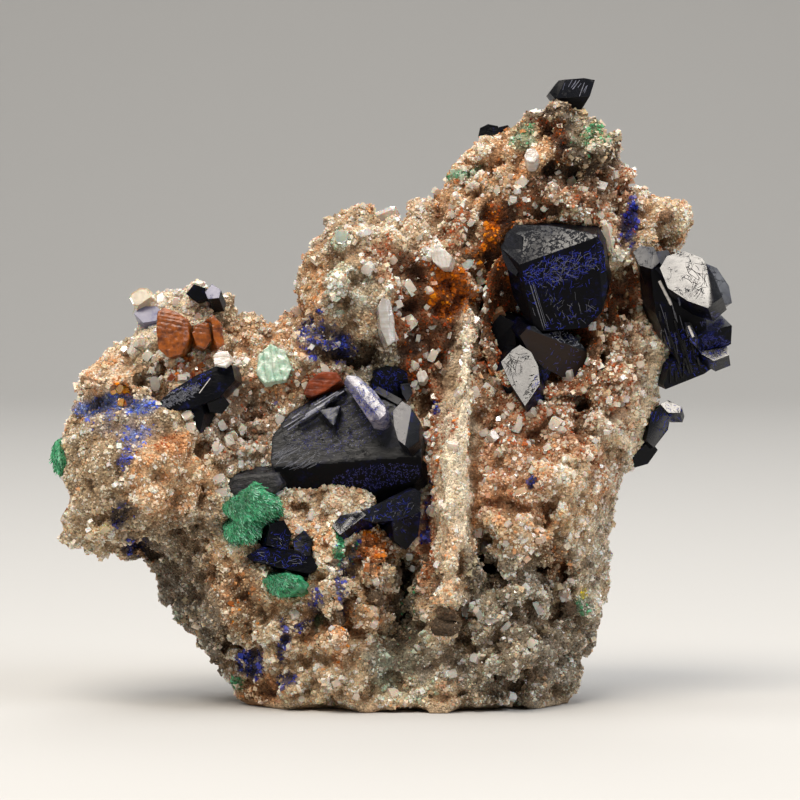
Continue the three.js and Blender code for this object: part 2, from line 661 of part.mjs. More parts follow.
      outline: [[496, 136], [499, 127], [508, 125], [513, 132], [508, 140]],
      front: -6, turn: 10, tilt: 14, thickness: 4,
    },
  ],
  azurite_west_tablet: [
    {
      outline: [
        [157, 405], [170, 391], [196, 375], [220, 364], [232, 365], [235, 380], [220, 397],
        [196, 407], [172, 411],
      ],
      front: 11.2, turn: -8, tilt: 6, thickness: 6,
      creases: [{ from: [166, 398], to: [222, 367], lean: 30 }],
    },
    {
      outline: [[140, 386], [146, 372], [156, 366], [166, 376], [166, 390], [150, 394]],
      front: 10.4, turn: 10, tilt: 14, thickness: 6,
    },
    {
      outline: [[190, 404], [200, 400], [204, 414], [200, 433], [194, 424]],
      front: 10.6, turn: -22, tilt: 4, thickness: 5,
    },
    {
      outline: [[206, 400], [222, 394], [230, 404], [222, 414], [210, 412]],
      front: 9.8, turn: 18, tilt: -6, thickness: 5,
    },
  ],
  azurite_lilac: [
    {
      outline: [[134, 314], [140, 306], [156, 306], [164, 313], [156, 321], [143, 323]],
      front: 3.6, turn: -10, tilt: 30, thickness: 4,
    },
  ],
  azurite_north_west: [
    {
      outline: [[186, 294], [194, 284], [205, 288], [208, 298], [196, 302]],
      front: 4.6, turn: -6, tilt: 6, thickness: 4,
    },
    {
      outline: [[205, 292], [212, 284], [221, 290], [219, 298], [208, 299]],
      front: 5, turn: -10, tilt: 30, thickness: 4,
    },
  ],
};

// Cerussite, by the colour that the second word of its name gives.
const CERUSSITE = {
  cerussite_amber_large: {
    outline: [
      [156, 332], [157, 312], [163, 306], [176, 311], [188, 319], [189, 338], [182, 354],
      [168, 358], [158, 349],
    ],
    front: 9.6, turn: -8, tilt: 10, thickness: 6.5, flare: -4,
    creases: [
      { from: [156, 315], to: [189, 324], lean: 22 },
      { from: [182, 312], to: [182, 354], lean: 30 },
    ],
  },
  cerussite_amber_small: {
    outline: [[192, 332], [198, 323], [209, 323], [212, 340], [205, 350], [196, 346]],
    front: 8.8, turn: 8, tilt: 6, thickness: 5,
  },
  cerussite_amber_crescent: {
    outline: [[208, 320], [214, 315], [222, 324], [225, 344], [216, 351], [214, 338]],
    front: 9.2, turn: 14, tilt: 8, thickness: 5,
  },
  cerussite_amber_deep: {
    outline: [[303, 394], [309, 379], [322, 371], [337, 372], [342, 380], [327, 390], [312, 397]],
    front: 9.2, turn: -6, tilt: 12, thickness: 6,
  },
  cerussite_white_block: {
    outline: [[213, 356], [218, 350], [228, 351], [231, 361], [225, 367], [214, 364]],
    front: 12.4, turn: -10, tilt: 18, thickness: 5,
  },
  cerussite_green_block: {
    outline: [[256, 374], [258, 354], [270, 343], [284, 350], [292, 368], [286, 380], [264, 383]],
    front: 7.4, turn: -8, tilt: 18, thickness: 5,
  },
  cerussite_clear_prism: {
    outline: [
      [343, 382], [347, 375], [358, 376], [374, 390], [385, 405], [386, 414], [379, 420],
      [368, 418],
    ],
    front: 14.6, turn: -14, tilt: 26, thickness: 3.8,
    creases: [
      { from: [348, 380], to: [376, 414], lean: 34 },
      { from: [360, 380], to: [385, 408], lean: 26 },
    ],
  },
  cerussite_clear_column: {
    outline: [[378, 306], [382, 298], [391, 300], [395, 320], [396, 340], [388, 346], [381, 330]],
    front: 12, turn: 6, tilt: 8, thickness: 5,
    creases: [{ from: [386, 298], to: [390, 344], lean: 30 }],
  },
  cerussite_white_twin: {
    outline: [[430, 254], [438, 241], [446, 250], [453, 254], [449, 267], [441, 268], [433, 262]],
    front: 7, turn: -8, tilt: 12, thickness: 4,
  },
  cerussite_white_hexagon: {
    outline: [[416, 375], [419, 370], [425, 370], [428, 376], [424, 382], [418, 382]],
    front: 7.4, turn: -6, tilt: 16, thickness: 3.4,
  },
  cerussite_white_bead: {
    outline: [[524, 156], [527, 149], [535, 148], [539, 155], [535, 162], [527, 162]],
    front: 6.4, turn: -4, tilt: 20, thickness: 4,
  },
};

// Malachite, as faceted domes.
const MALACHITE = {
  malachite_fan: [
    { name: "fan_top", px: 254, py: 505, front: 10.5, wide: 31, tall: 25, deep: 4.5, turn: -14 },
    { name: "fan_low", px: 244, py: 528, front: 10, wide: 23, tall: 22, deep: 4.5 },
  ],
  malachite_edge: [{ name: "edge", px: 62, py: 458, front: 3, wide: 9, tall: 23, deep: 4.5, turn: -10 }],
  malachite_south_west: [
    { name: "south_west_green", px: 287, py: 584, front: 12.5, wide: 24, tall: 15, deep: 4.5, turn: 10 },
  ],
};

// Small crystals that stand on the rock's front: their sides and lean for a size of 1, how many there
// are and the range of their sizes.
const GRAIN = { long: 1.6, wide: 1.3, thick: 1, lean: 1.1 };
const GRAINS = { name: "grains", count: 36, smallest: 0.8, greatest: 1.7, sunk: 0.35 };
const HOLLOW_GRAINS = { name: "hollow_grains", count: 14, smallest: 0.6, greatest: 1.3, sunk: 0.3 };
const FIELD = { left: 70, right: 690, top: 110, bottom: 690 };
const HOLLOW_FIELD = { left: 475, right: 605, top: 225, bottom: 400 };

/** A blocky crystal that stands on a point of the rock. */
function grain(point, normal, size, random) {
  const shape = new THREE.BoxGeometry(GRAIN.wide * size, GRAIN.long * size, GRAIN.thick * size);
  const lean = new THREE.Vector3(random() - 0.5, random() - 0.5, random() - 0.5);
  const axis = normal.clone().addScaledVector(lean, GRAIN.lean).normalize();
  shape.rotateY(random() * Math.PI);
  shape.applyQuaternion(new THREE.Quaternion().setFromUnitVectors(new THREE.Vector3(0, 1, 0), axis));
  return shape.translate(...point.toArray());
}

/** Solids for the small crystals that a viewer sees on a surface. */
function scatter(surface, { name, count, smallest, greatest, sunk }, field) {
  const random = randomFrom(name);
  const target = mesh(name, surface, FINISHES.rock);
  const caster = new THREE.Raycaster();
  const found = [];
  for (let i = 0; i < count; i++) {
    const line = sightLine(
      THREE.MathUtils.lerp(field.left, field.right, random()),
      THREE.MathUtils.lerp(field.top, field.bottom, random()),
    );
    caster.set(line.origin, line.direction);
    const hit = caster.intersectObject(target)[0];
    const size = THREE.MathUtils.lerp(smallest, greatest, random() ** 2);
    if (!hit) continue;
    const root = hit.point.addScaledVector(hit.face.normal, -sunk * size);
    found.push(solid(grain(root, hit.face.normal, size, random)));
  }
  return found;
}

/** Rock above the flat foot that the specimen rests on. */
function aboveFoot(whole) {
  const side = 3 * SPECIMEN_WIDTH;
  const block = new THREE.BoxGeometry(side, side, side).translate(0, 0, side / 2 + FOOT_LEVEL);
  return whole.intersect(solid(block));
}

// The crystals and the malachite. Each stops short of those before it.
const grown = [];
function grow(name, material, shape) {
  const body = grown.length ? shape(0).subtract(join(grown.map((other) => other.pocket))) : shape(0);
  grown.push({ name, material, body, pocket: shape(GAP) });
}

for (const [name, crystals] of Object.entries(AZURITE)) {
  grow(name, FINISHES.azurite, (extra) => join(crystals.map((one) => crystal(one, extra))));
}
for (const [name, one] of Object.entries(CERUSSITE)) {
  const colour = name.split("_")[1];
  grow(name, FINISHES.cerussite[colour], (extra) => crystal(one, extra));
}
for (const [name, parts] of Object.entries(MALACHITE)) {
  grow(name, FINISHES.malachite, (extra) => lumps(parts, extra));
}
const pockets = join(grown.map((one) => one.pocket));

// The rock, then the crust of its upper hollow.
const ridges = RIDGES.map((specs) => ridge(specs));
const uncut = join([rockBody(), lumps(KNOBS), ...ridges]);
const carved = uncut.subtract(lumps(CAVITIES));
const grains = scatter(carved.add(ridge(RIB)), GRAINS, FIELD);
const rock = join([carved, ...grains])
  .subtract(lump(UPPER_HOLLOW))
  .add(ridge(RIB))
  .subtract(pockets);

const lined = uncut.intersect(lump(UPPER_HOLLOW, -CRUST.gap));
const lining = lined.subtract(lump(UPPER_HOLLOW, -CRUST.gap - CRUST.thickness));
const crust = join([lining, ...scatter(lining, HOLLOW_GRAINS, HOLLOW_FIELD)])
  .intersect(lined)
  .subtract(pockets)
  .subtract(ridge(RIB, CRUST.gap));

const specimen = new THREE.Group();
specimen.add(mesh("ore_matrix", aboveFoot(rock), FINISHES.rock));
specimen.add(mesh("hollow_druse", crust, FINISHES.druse));
grown.forEach(({ name, body, material }) => specimen.add(mesh(name, body, material)));

// The origin is under the middle of the specimen, on the surface that it stands on.
const box = new THREE.Box3().setFromObject(specimen);
const middle = box.getCenter(new THREE.Vector3());
specimen.position.set(-middle.x, -middle.y, -box.min.z);

export default specimen;
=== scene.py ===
"""The looks of an azurite and cerussite specimen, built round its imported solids.

Lengths are metres; a name that ends in _mm holds millimetres, and MM turns it to metres. A column and
a row are a place in the 800 by 800 picture that the specimen was read from.
"""
import logging
import math
from collections.abc import Iterable, Sequence
from dataclasses import dataclass
from enum import Enum

import bpy
import numpy as np
from bpy.types import Material, Mesh, NodeSocket, NodeTree, Object
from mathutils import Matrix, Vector
from mathutils.bvhtree import BVHTree
from numpy import ndarray
from numpy.random import Generator, default_rng


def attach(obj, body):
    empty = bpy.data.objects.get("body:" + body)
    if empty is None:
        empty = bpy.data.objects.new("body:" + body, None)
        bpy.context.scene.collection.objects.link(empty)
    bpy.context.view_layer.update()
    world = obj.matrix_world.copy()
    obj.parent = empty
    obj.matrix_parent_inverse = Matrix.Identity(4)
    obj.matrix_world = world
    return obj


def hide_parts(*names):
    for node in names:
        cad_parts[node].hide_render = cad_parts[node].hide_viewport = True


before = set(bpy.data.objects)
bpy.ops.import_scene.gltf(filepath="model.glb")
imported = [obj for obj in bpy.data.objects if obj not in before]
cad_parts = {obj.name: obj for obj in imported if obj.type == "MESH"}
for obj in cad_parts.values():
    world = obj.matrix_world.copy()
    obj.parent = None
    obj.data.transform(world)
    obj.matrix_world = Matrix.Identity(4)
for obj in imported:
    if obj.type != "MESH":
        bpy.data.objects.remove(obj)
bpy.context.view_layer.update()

LOG = logging.getLogger("specimen")
MM = 0.001
BODY = "root"


def linear(code: str) -> tuple[float, float, float]:
    """Turn an sRGB hex colour, #rrggbb, to linear red, green and blue from 0 to 1."""
    parts = [int(code[i : i + 2], 16) / 255 for i in (1, 3, 5)]
    return tuple(p / 12.92 if p <= 0.04045 else ((p + 0.055) / 1.055) ** 2.4 for p in parts)


def rgba(code: str) -> tuple[float, float, float, float]:
    """Give an sRGB hex colour as a linear colour with full alpha."""
    return (*linear(code), 1.0)


# The viewer


@dataclass(frozen=True)
class Sight:
    """The viewer's eye, and the picture that it sees."""

    aim_mm: tuple[float, float, float] = (1.132, -2.063, 42.2)  # the place in the picture's middle
    distance_mm: float = 700.0  # from there to the eye
    elevation_deg: float = 3.0  # how far the eye looks down
    picture: int = 800  # the picture's side, in pixels
    mm_per_pixel: float = 95 / 680  # millimetres to a pixel, at the aim
    sensor_mm: float = 36.0  # width of the camera's sensor

    @property
    def forward(self) -> ndarray:
        """Give the direction of the view."""
        up = math.radians(self.elevation_deg)
        return np.array([0.0, math.cos(up), -math.sin(up)])

    @property
    def upward(self) -> ndarray:
        """Give the picture's upward direction."""
        up = math.radians(self.elevation_deg)
        return np.array([0.0, math.sin(up), math.cos(up)])

    @property
    def eye(self) -> ndarray:
        """Give the place of the eye."""
        return (np.array(self.aim_mm) - self.distance_mm * self.forward) * MM

    def pixels(self, points: ndarray) -> ndarray:
        """Find where points are seen.

        Args:
            points: Places, one to a row.

        Returns:
            Column and row of each.
        """
        apart = points - self.eye
        depth = apart @ self.forward
        scale = self.distance_mm / self.mm_per_pixel / depth
        middle = self.picture / 2
        return np.column_stack([middle + apart[:, 0] * scale, middle - apart @ self.upward * scale])

    def ray(self, column: float, row: float) -> tuple[Vector, Vector]:
        """Give the sight line through a place of the picture.

        Args:
            column: Pixels from the left.
            row: Pixels from the top.

        Returns:
            Its start and its direction.
        """
        middle = self.picture / 2
        across = (column - middle) * self.mm_per_pixel
        up = (middle - row) * self.mm_per_pixel
        line = self.forward * self.distance_mm + self.upward * up + np.array([across, 0, 0])
        return Vector(self.eye), Vector(line).normalized()

    def build(self) -> None:
        """Add the camera and make it the scene's."""
        width = self.picture * self.mm_per_pixel
        tilt = math.radians(90 - self.elevation_deg)
        bpy.ops.object.camera_add(location=self.eye, rotation=(tilt, 0, 0))
        camera = bpy.context.object
        camera.data.sensor_width = self.sensor_mm
        camera.data.lens = self.sensor_mm * self.distance_mm / width
        camera.data.clip_end = 10
        bpy.context.scene.camera = camera


SIGHT = Sight()


# Small tools


def lone(made: Object) -> None:
    """Make an object the only one selected, and the active one."""
    bpy.ops.object.select_all(action="DESELECT")
    made.select_set(True)
    bpy.context.view_layer.objects.active = made


def apply_modifier(made: Object, kind: str, **settings: object) -> None:
    """Add a modifier to an object and apply it.

    Args:
        made: The object.
        kind: The modifier's type.
        settings: Its values.
    """
    lone(made)
    bpy.ops.object.modifier_add(type=kind)
    modifier = made.modifiers[-1]
    for name, value in settings.items():
        setattr(modifier, name, value)
    bpy.ops.object.modifier_apply(modifier=modifier.name)


def copy_of(node: str, name: str) -> Object:
    """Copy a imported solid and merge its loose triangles.

    Args:
        node: The solid's name.
        name: The copy's name.

    Returns:
        The copy, a closed mesh.
    """
    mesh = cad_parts[node].data.copy()
    mesh.name = name
    mesh.materials.clear()
    made = bpy.data.objects.new(name, mesh)
    bpy.context.scene.collection.objects.link(made)
    lone(made)
    bpy.ops.object.mode_set(mode="EDIT")
    bpy.ops.mesh.select_all(action="SELECT")
    bpy.ops.mesh.remove_doubles(threshold=0.002 * MM)
    bpy.ops.mesh.dissolve_degenerate(threshold=0.001 * MM)
    bpy.ops.object.mode_set(mode="OBJECT")
    return made


def corners_of(mesh: Mesh) -> ndarray:
    """Give a mesh's vertices, one to a row."""
    flat = np.empty(len(mesh.vertices) * 3, np.float32)
    mesh.vertices.foreach_get("co", flat)
    return flat.reshape(-1, 3).astype(float)


def set_corners(made: Object, points: ndarray) -> None:
    """Move an object's vertices."""
    made.data.vertices.foreach_set("co", points.astype(np.float32).ravel())
    made.data.update()


def normals_of(mesh: Mesh) -> ndarray:
    """Give the normals at a mesh's vertices, one to a row."""
    flat = np.empty(len(mesh.vertices) * 3, np.float32)
    mesh.vertex_normals.foreach_get("vector", flat)
    return flat.reshape(-1, 3).astype(float)


def triangles_of(mesh: Mesh) -> ndarray:
    """Give a mesh's triangles as three vertex numbers each."""
    mesh.calc_loop_triangles()
    flat = np.empty(len(mesh.loop_triangles) * 3, np.int32)
    mesh.loop_triangles.foreach_get("vertices", flat)
    return flat.reshape(-1, 3)


def rises_of(mesh: Mesh, rounds: int = 9) -> ndarray:
    """Measure how far each vertex stands over its surroundings.

    Args:
        mesh: The mesh.
        rounds: How far the surroundings reach, in steps along its edges.

    Returns:
        Millimetres, below 0 in a pit.
    """
    points = corners_of(mesh)
    pairs = np.empty(len(mesh.edges) * 2, np.int32)
    mesh.edges.foreach_get("vertices", pairs)
    ends = pairs.reshape(-1, 2).T
    links = np.bincount(pairs, minlength=len(points))
    calm = points.copy()
    for _ in range(rounds):
        sums = [
            np.bincount(ends[0], calm[ends[1], i], len(points))
            + np.bincount(ends[1], calm[ends[0], i], len(points))
            for i in range(3)
        ]
        calm = np.column_stack(sums) / links[:, None]
    return np.einsum("ij,ij->i", points - calm, normals_of(mesh)) / MM


def set_tones(mesh: Mesh, tones: ndarray) -> None:
    """Keep a colour for each vertex, as the attribute that the finishes read.

    Args:
        mesh: The mesh.
        tones: Linear red, green and blue, one row to a vertex.
    """
    layer = mesh.attributes.new("tone", "FLOAT_COLOR", "POINT")
    full = np.column_stack([tones, np.ones(len(tones))]).astype(np.float32)
    layer.data.foreach_set("color", full.ravel())


def place(made: Object, material: Material, slot: str, *nodes: str) -> None:
    """Give a piece its finish and body, and hide the solids that it stands for.

    Args:
        made: The piece.
        material: Its finish.
        slot: The record's name for that finish; not used.
        nodes: The solids.
    """
    made.data.materials.clear()
    made.data.materials.append(material)
    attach(made, BODY)
    if nodes:
        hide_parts(*nodes)
    LOG.info("%s: %d triangles", made.name, sum(len(p.vertices) - 2 for p in made.data.polygons))


def smooth_noise(points: ndarray, size_mm: float, seed: int) -> ndarray:
    """Give smooth noise from -1 to 1 at each point.

    Args:
        points: Places, one to a row.
        size_mm: The pattern's size.
        seed: Which pattern.

    Returns:
        One value to a point.
    """
    scaled = points / (size_mm * MM) + 17.3 * seed
    cell = np.floor(scaled).astype(np.int64)
    part = scaled - cell
    part = part * part * (3 - 2 * part)
    total = np.zeros(len(points))
    for corner in np.ndindex(2, 2, 2):
        at = (cell + np.array(corner)).astype(np.uint64)
        mixed = at[:, 0] * np.uint64(73856093) ^ at[:, 1] * np.uint64(19349663)
        mixed = mixed ^ at[:, 2] * np.uint64(83492791) ^ np.uint64(seed * 2654435761 + 97)
        mixed = (mixed ^ (mixed >> np.uint64(15))) * np.uint64(2246822519)
        mixed = (mixed ^ (mixed >> np.uint64(13))) * np.uint64(3266489917)
        value = ((mixed >> np.uint64(8)) & np.uint64(0xFFFFFF)).astype(float) / 0xFFFFFF
        weight = np.prod(np.where(np.array(corner), part, 1 - part), axis=1)
        total += weight * (2 * value - 1)
    return total


def layered_noise(points: ndarray, size_mm: float, seed: int, layers: int = 3) -> ndarray:
    """Give noise of several sizes, each half the one before.

    Args:
        points: Places, one to a row.
        size_mm: The largest pattern's size.
        seed: Which pattern.
        layers: How many sizes.

    Returns:
        One value to a point, mostly from -1 to 1.
    """
    share = [0.5**i for i in range(layers)]
    parts = [s * smooth_noise(points, size_mm * s, seed + 11 * i) for i, s in enumerate(share)]
    return sum(parts) / sum(share)


def thrown(random: Generator, wide: float, tall: float) -> tuple[float, float]:
    """Draw an even place in an oval, from its middle."""
    radius, angle = math.sqrt(random.random()), random.random() * math.tau
    return wide * radius * math.cos(angle), tall * radius * math.sin(angle)


def step_between(low: float, high: float, values: ndarray) -> ndarray:
    """Rise smoothly from 0 at low to 1 at high."""
    part = np.clip((values - low) / (high - low), 0, 1)
    return part * part * (3 - 2 * part)


# Minerals


class Shape(Enum):
    """The forms that a grain can have."""

    RHOMB = "rhomb"
    CHIP = "chip"
    CRUMB = "crumb"
    GEM = "gem"


RHOMB, CHIP, CRUMB, GEM = Shape


class Crust(Enum):
    """The joined meshes that grains go to: the piece's name and the record's finish."""

    DRUSE = ("dolomite_druse", "ore")
    SAND = ("sandy_crust", "ore")
    IRON = ("iron_crust", "druse")
    SPECKS = ("azurite_specks", "azurite")
    GREEN = ("malachite_specks", "malachite")
    CLEAR = ("cerussite_druse", "clear_cerussite")


@dataclass(frozen=True)
class Grit:
    """How one kind of grain looks."""

    crust: Crust  # the mesh that it goes to
    tones: tuple[str, ...]  # colours of its grains
    ground: str  # colour of the rock between them
    shapes: tuple[Shape, ...]  # forms of its grains
    size_mm: tuple[float, float]  # least and greatest width of a grain
    per_mm2: float  # how many grains stand on a square millimetre


class Mineral(Enum):
    """What the rock's surface is made of."""

    CREAM = Grit(
        Crust.DRUSE, ("#fbf3e6", "#f4e5ce", "#e8d2b2", "#fffbf4", "#d8ba92"), "#d6be9a",
        (CRUMB, CRUMB, CHIP, RHOMB), (0.2, 0.66), 8.6,
    )
    ROSE = Grit(
        Crust.DRUSE, ("#f6dcc6", "#eac2a2", "#faeee4", "#d69e78"), "#c4926e",
        (CRUMB, CRUMB, CHIP, RHOMB), (0.2, 0.62), 8.6,
    )
    GREY = Grit(
        Crust.DRUSE, ("#cec6b8", "#b2a898", "#948a7a", "#e6dfd2", "#7a705f"), "#8a8070",
        (CRUMB, CRUMB, CRUMB, CHIP), (0.19, 0.5), 8.0,
    )
    MARBLE = Grit(
        Crust.DRUSE, ("#fdf2df", "#f8e6cc", "#fffaf0", "#f0d8b6"), "#f6e4c8", (CRUMB,), (0.2, 0.42), 4.6
    )
    SAND = Grit(
        Crust.SAND, ("#dcc4a4", "#c2a680", "#ecdcc2", "#a48660", "#f6ebd8"), "#a88c6a",
        (CRUMB, CRUMB, CRUMB, CHIP), (0.19, 0.5), 8.2,
    )
    PEACH = Grit(
        Crust.SAND, ("#ecb88a", "#dc9c64", "#f6d8b8", "#c67e42", "#f6e6d2"), "#c68c5c",
        (CRUMB, CRUMB, CRUMB, CHIP), (0.19, 0.5), 8.2,
    )
    # Dark sand; it also stands for painted shade in grooves, hollows and under overhangs
    DARK_SAND_AND_SHADE = Grit(
        Crust.SAND, ("#84735c", "#695a46", "#9c8a6c", "#4e4030", "#b0a080"), "#4a3d2e",
        (CRUMB, CHIP), (0.22, 0.6), 6.2,
    )
    RUST = Grit(
        Crust.IRON, ("#b0480c", "#c25a12", "#8c3608", "#a63a08", "#642408"), "#8c5028",
        (CRUMB,), (0.2, 0.45), 7.0,
    )
    UMBER = Grit(
        Crust.IRON, ("#48260a", "#5c3412", "#301b09", "#6c421a"), "#281506",
        (CRUMB,), (0.22, 0.5), 6.0,
    )
    OCHRE = Grit(
        Crust.IRON, ("#d47208", "#e68a10", "#b45a04", "#924804"), "#964a04",
        (CRUMB, CRUMB, CHIP), (0.24, 0.62), 7.5,
    )
    FLAME = Grit(
        Crust.IRON, ("#f99800", "#f08400", "#ffae20"), "#e88404", (CRUMB,), (0.25, 0.5), 6.0
    )
    LEMON = Grit(
        Crust.IRON, ("#dcc820", "#ccb418", "#e8da4a"), "#b8a428", (CRUMB,), (0.22, 0.4), 6.0
    )
    BLUE = Grit(
        Crust.SPECKS, ("#446cea", "#2e54d6", "#98b0ee", "#203eb8"), "#5670b0",
        (CRUMB, CHIP), (0.2, 0.42), 8.0,
    )
    INDIGO = Grit(
        Crust.SPECKS, ("#121f86", "#1c30a8", "#0c1258", "#2c46c4"), "#161c4c",
        (CHIP, CRUMB), (0.22, 0.5), 7.0,
    )
    GREEN = Grit(
        Crust.GREEN, ("#3aa068", "#258450", "#70c498", "#1a6c40"), "#3a7450",
        (CRUMB, CHIP), (0.22, 0.45), 7.0,
    )
    MINT = Grit(
        Crust.DRUSE, ("#ccd8c2", "#bacbb2", "#e4e9d8", "#a6bca0"), "#9aa68c",
        (CRUMB, CHIP), (0.3, 0.75), 5.0,
    )
    SUGAR = Grit(
        Crust.CLEAR, ("#fdf7ee", "#f6eadb", "#fffcf6", "#ecdac6"), "#ceb494", (GEM,), (0.45, 1.05), 2.6
    )
    CLEAR = Grit(
        Crust.CLEAR, ("#f6f3ee", "#ece4da", "#fcfaf7"), "#7a5a40", (GEM,), (0.7, 1.6), 1.6
    )


MINERALS = list(Mineral)
CREAM, ROSE, GREY, MARBLE, SAND, PEACH, DARK_SAND_AND_SHADE, RUST, UMBER = MINERALS[:9]
OCHRE, FLAME, LEMON, BLUE, INDIGO, GREEN, MINT, SUGAR, CLEAR = MINERALS[9:]
Mix = dict[Mineral, int]


def oval(pixels: ndarray, column: float, row: float, wide: float, tall: float, turn_deg: float) -> ndarray:
    """Measure how far points lie from an oval's middle.

    Args:
        pixels: Columns and rows.
        column: The oval's middle.
        row: The oval's middle.
        wide: Half its width.
        tall: Half its height.
        turn_deg: Degrees that it is turned clockwise.

    Returns:
        For each point 0 in the middle, 1 on the rim and more outside.
    """
    turn = math.radians(turn_deg)
    across, down = pixels[:, 0] - column, pixels[:, 1] - row
    u = (across * math.cos(turn) + down * math.sin(turn)) / wide
    v = (down * math.cos(turn) - across * math.sin(turn)) / tall
    return np.hypot(u, v)


class Side(Enum):
    """Which side of the specimen a zone is on."""

    FRONT = -1.0
    BACK = 1.0


@dataclass(frozen=True)
class Place:
    """An oval place in the picture: its middle and half its size, in pixels."""

    column: float
    row: float
    wide: float
    tall: float


@dataclass(frozen=True)
class Zone(Place):
    """A blurred oval of the surface where other minerals take over."""

    mix: Mix  # shares of the minerals in it, in percent
    turn: float = 0.0  # degrees that it is turned clockwise
    hold: float = 1.0  # how much of the old surface it covers
    side: Side = Side.FRONT  # the side of the specimen that it is on

    def cover(self, pixels: ndarray, facing: ndarray) -> ndarray:
        """Say how far the zone covers each point.

        Args:
            pixels: Columns and rows, already wandered by noise.
            facing: How far each point faces away from the viewer, from -1 to 1.

        Returns:
            From 0 to hold for each point.
        """
        apart = oval(pixels, self.column, self.row, self.wide, self.tall, self.turn)
        inside = step_between(1.25, 0.8, apart)
        return self.hold * inside * step_between(-0.35, 0.15, facing * self.side.value)


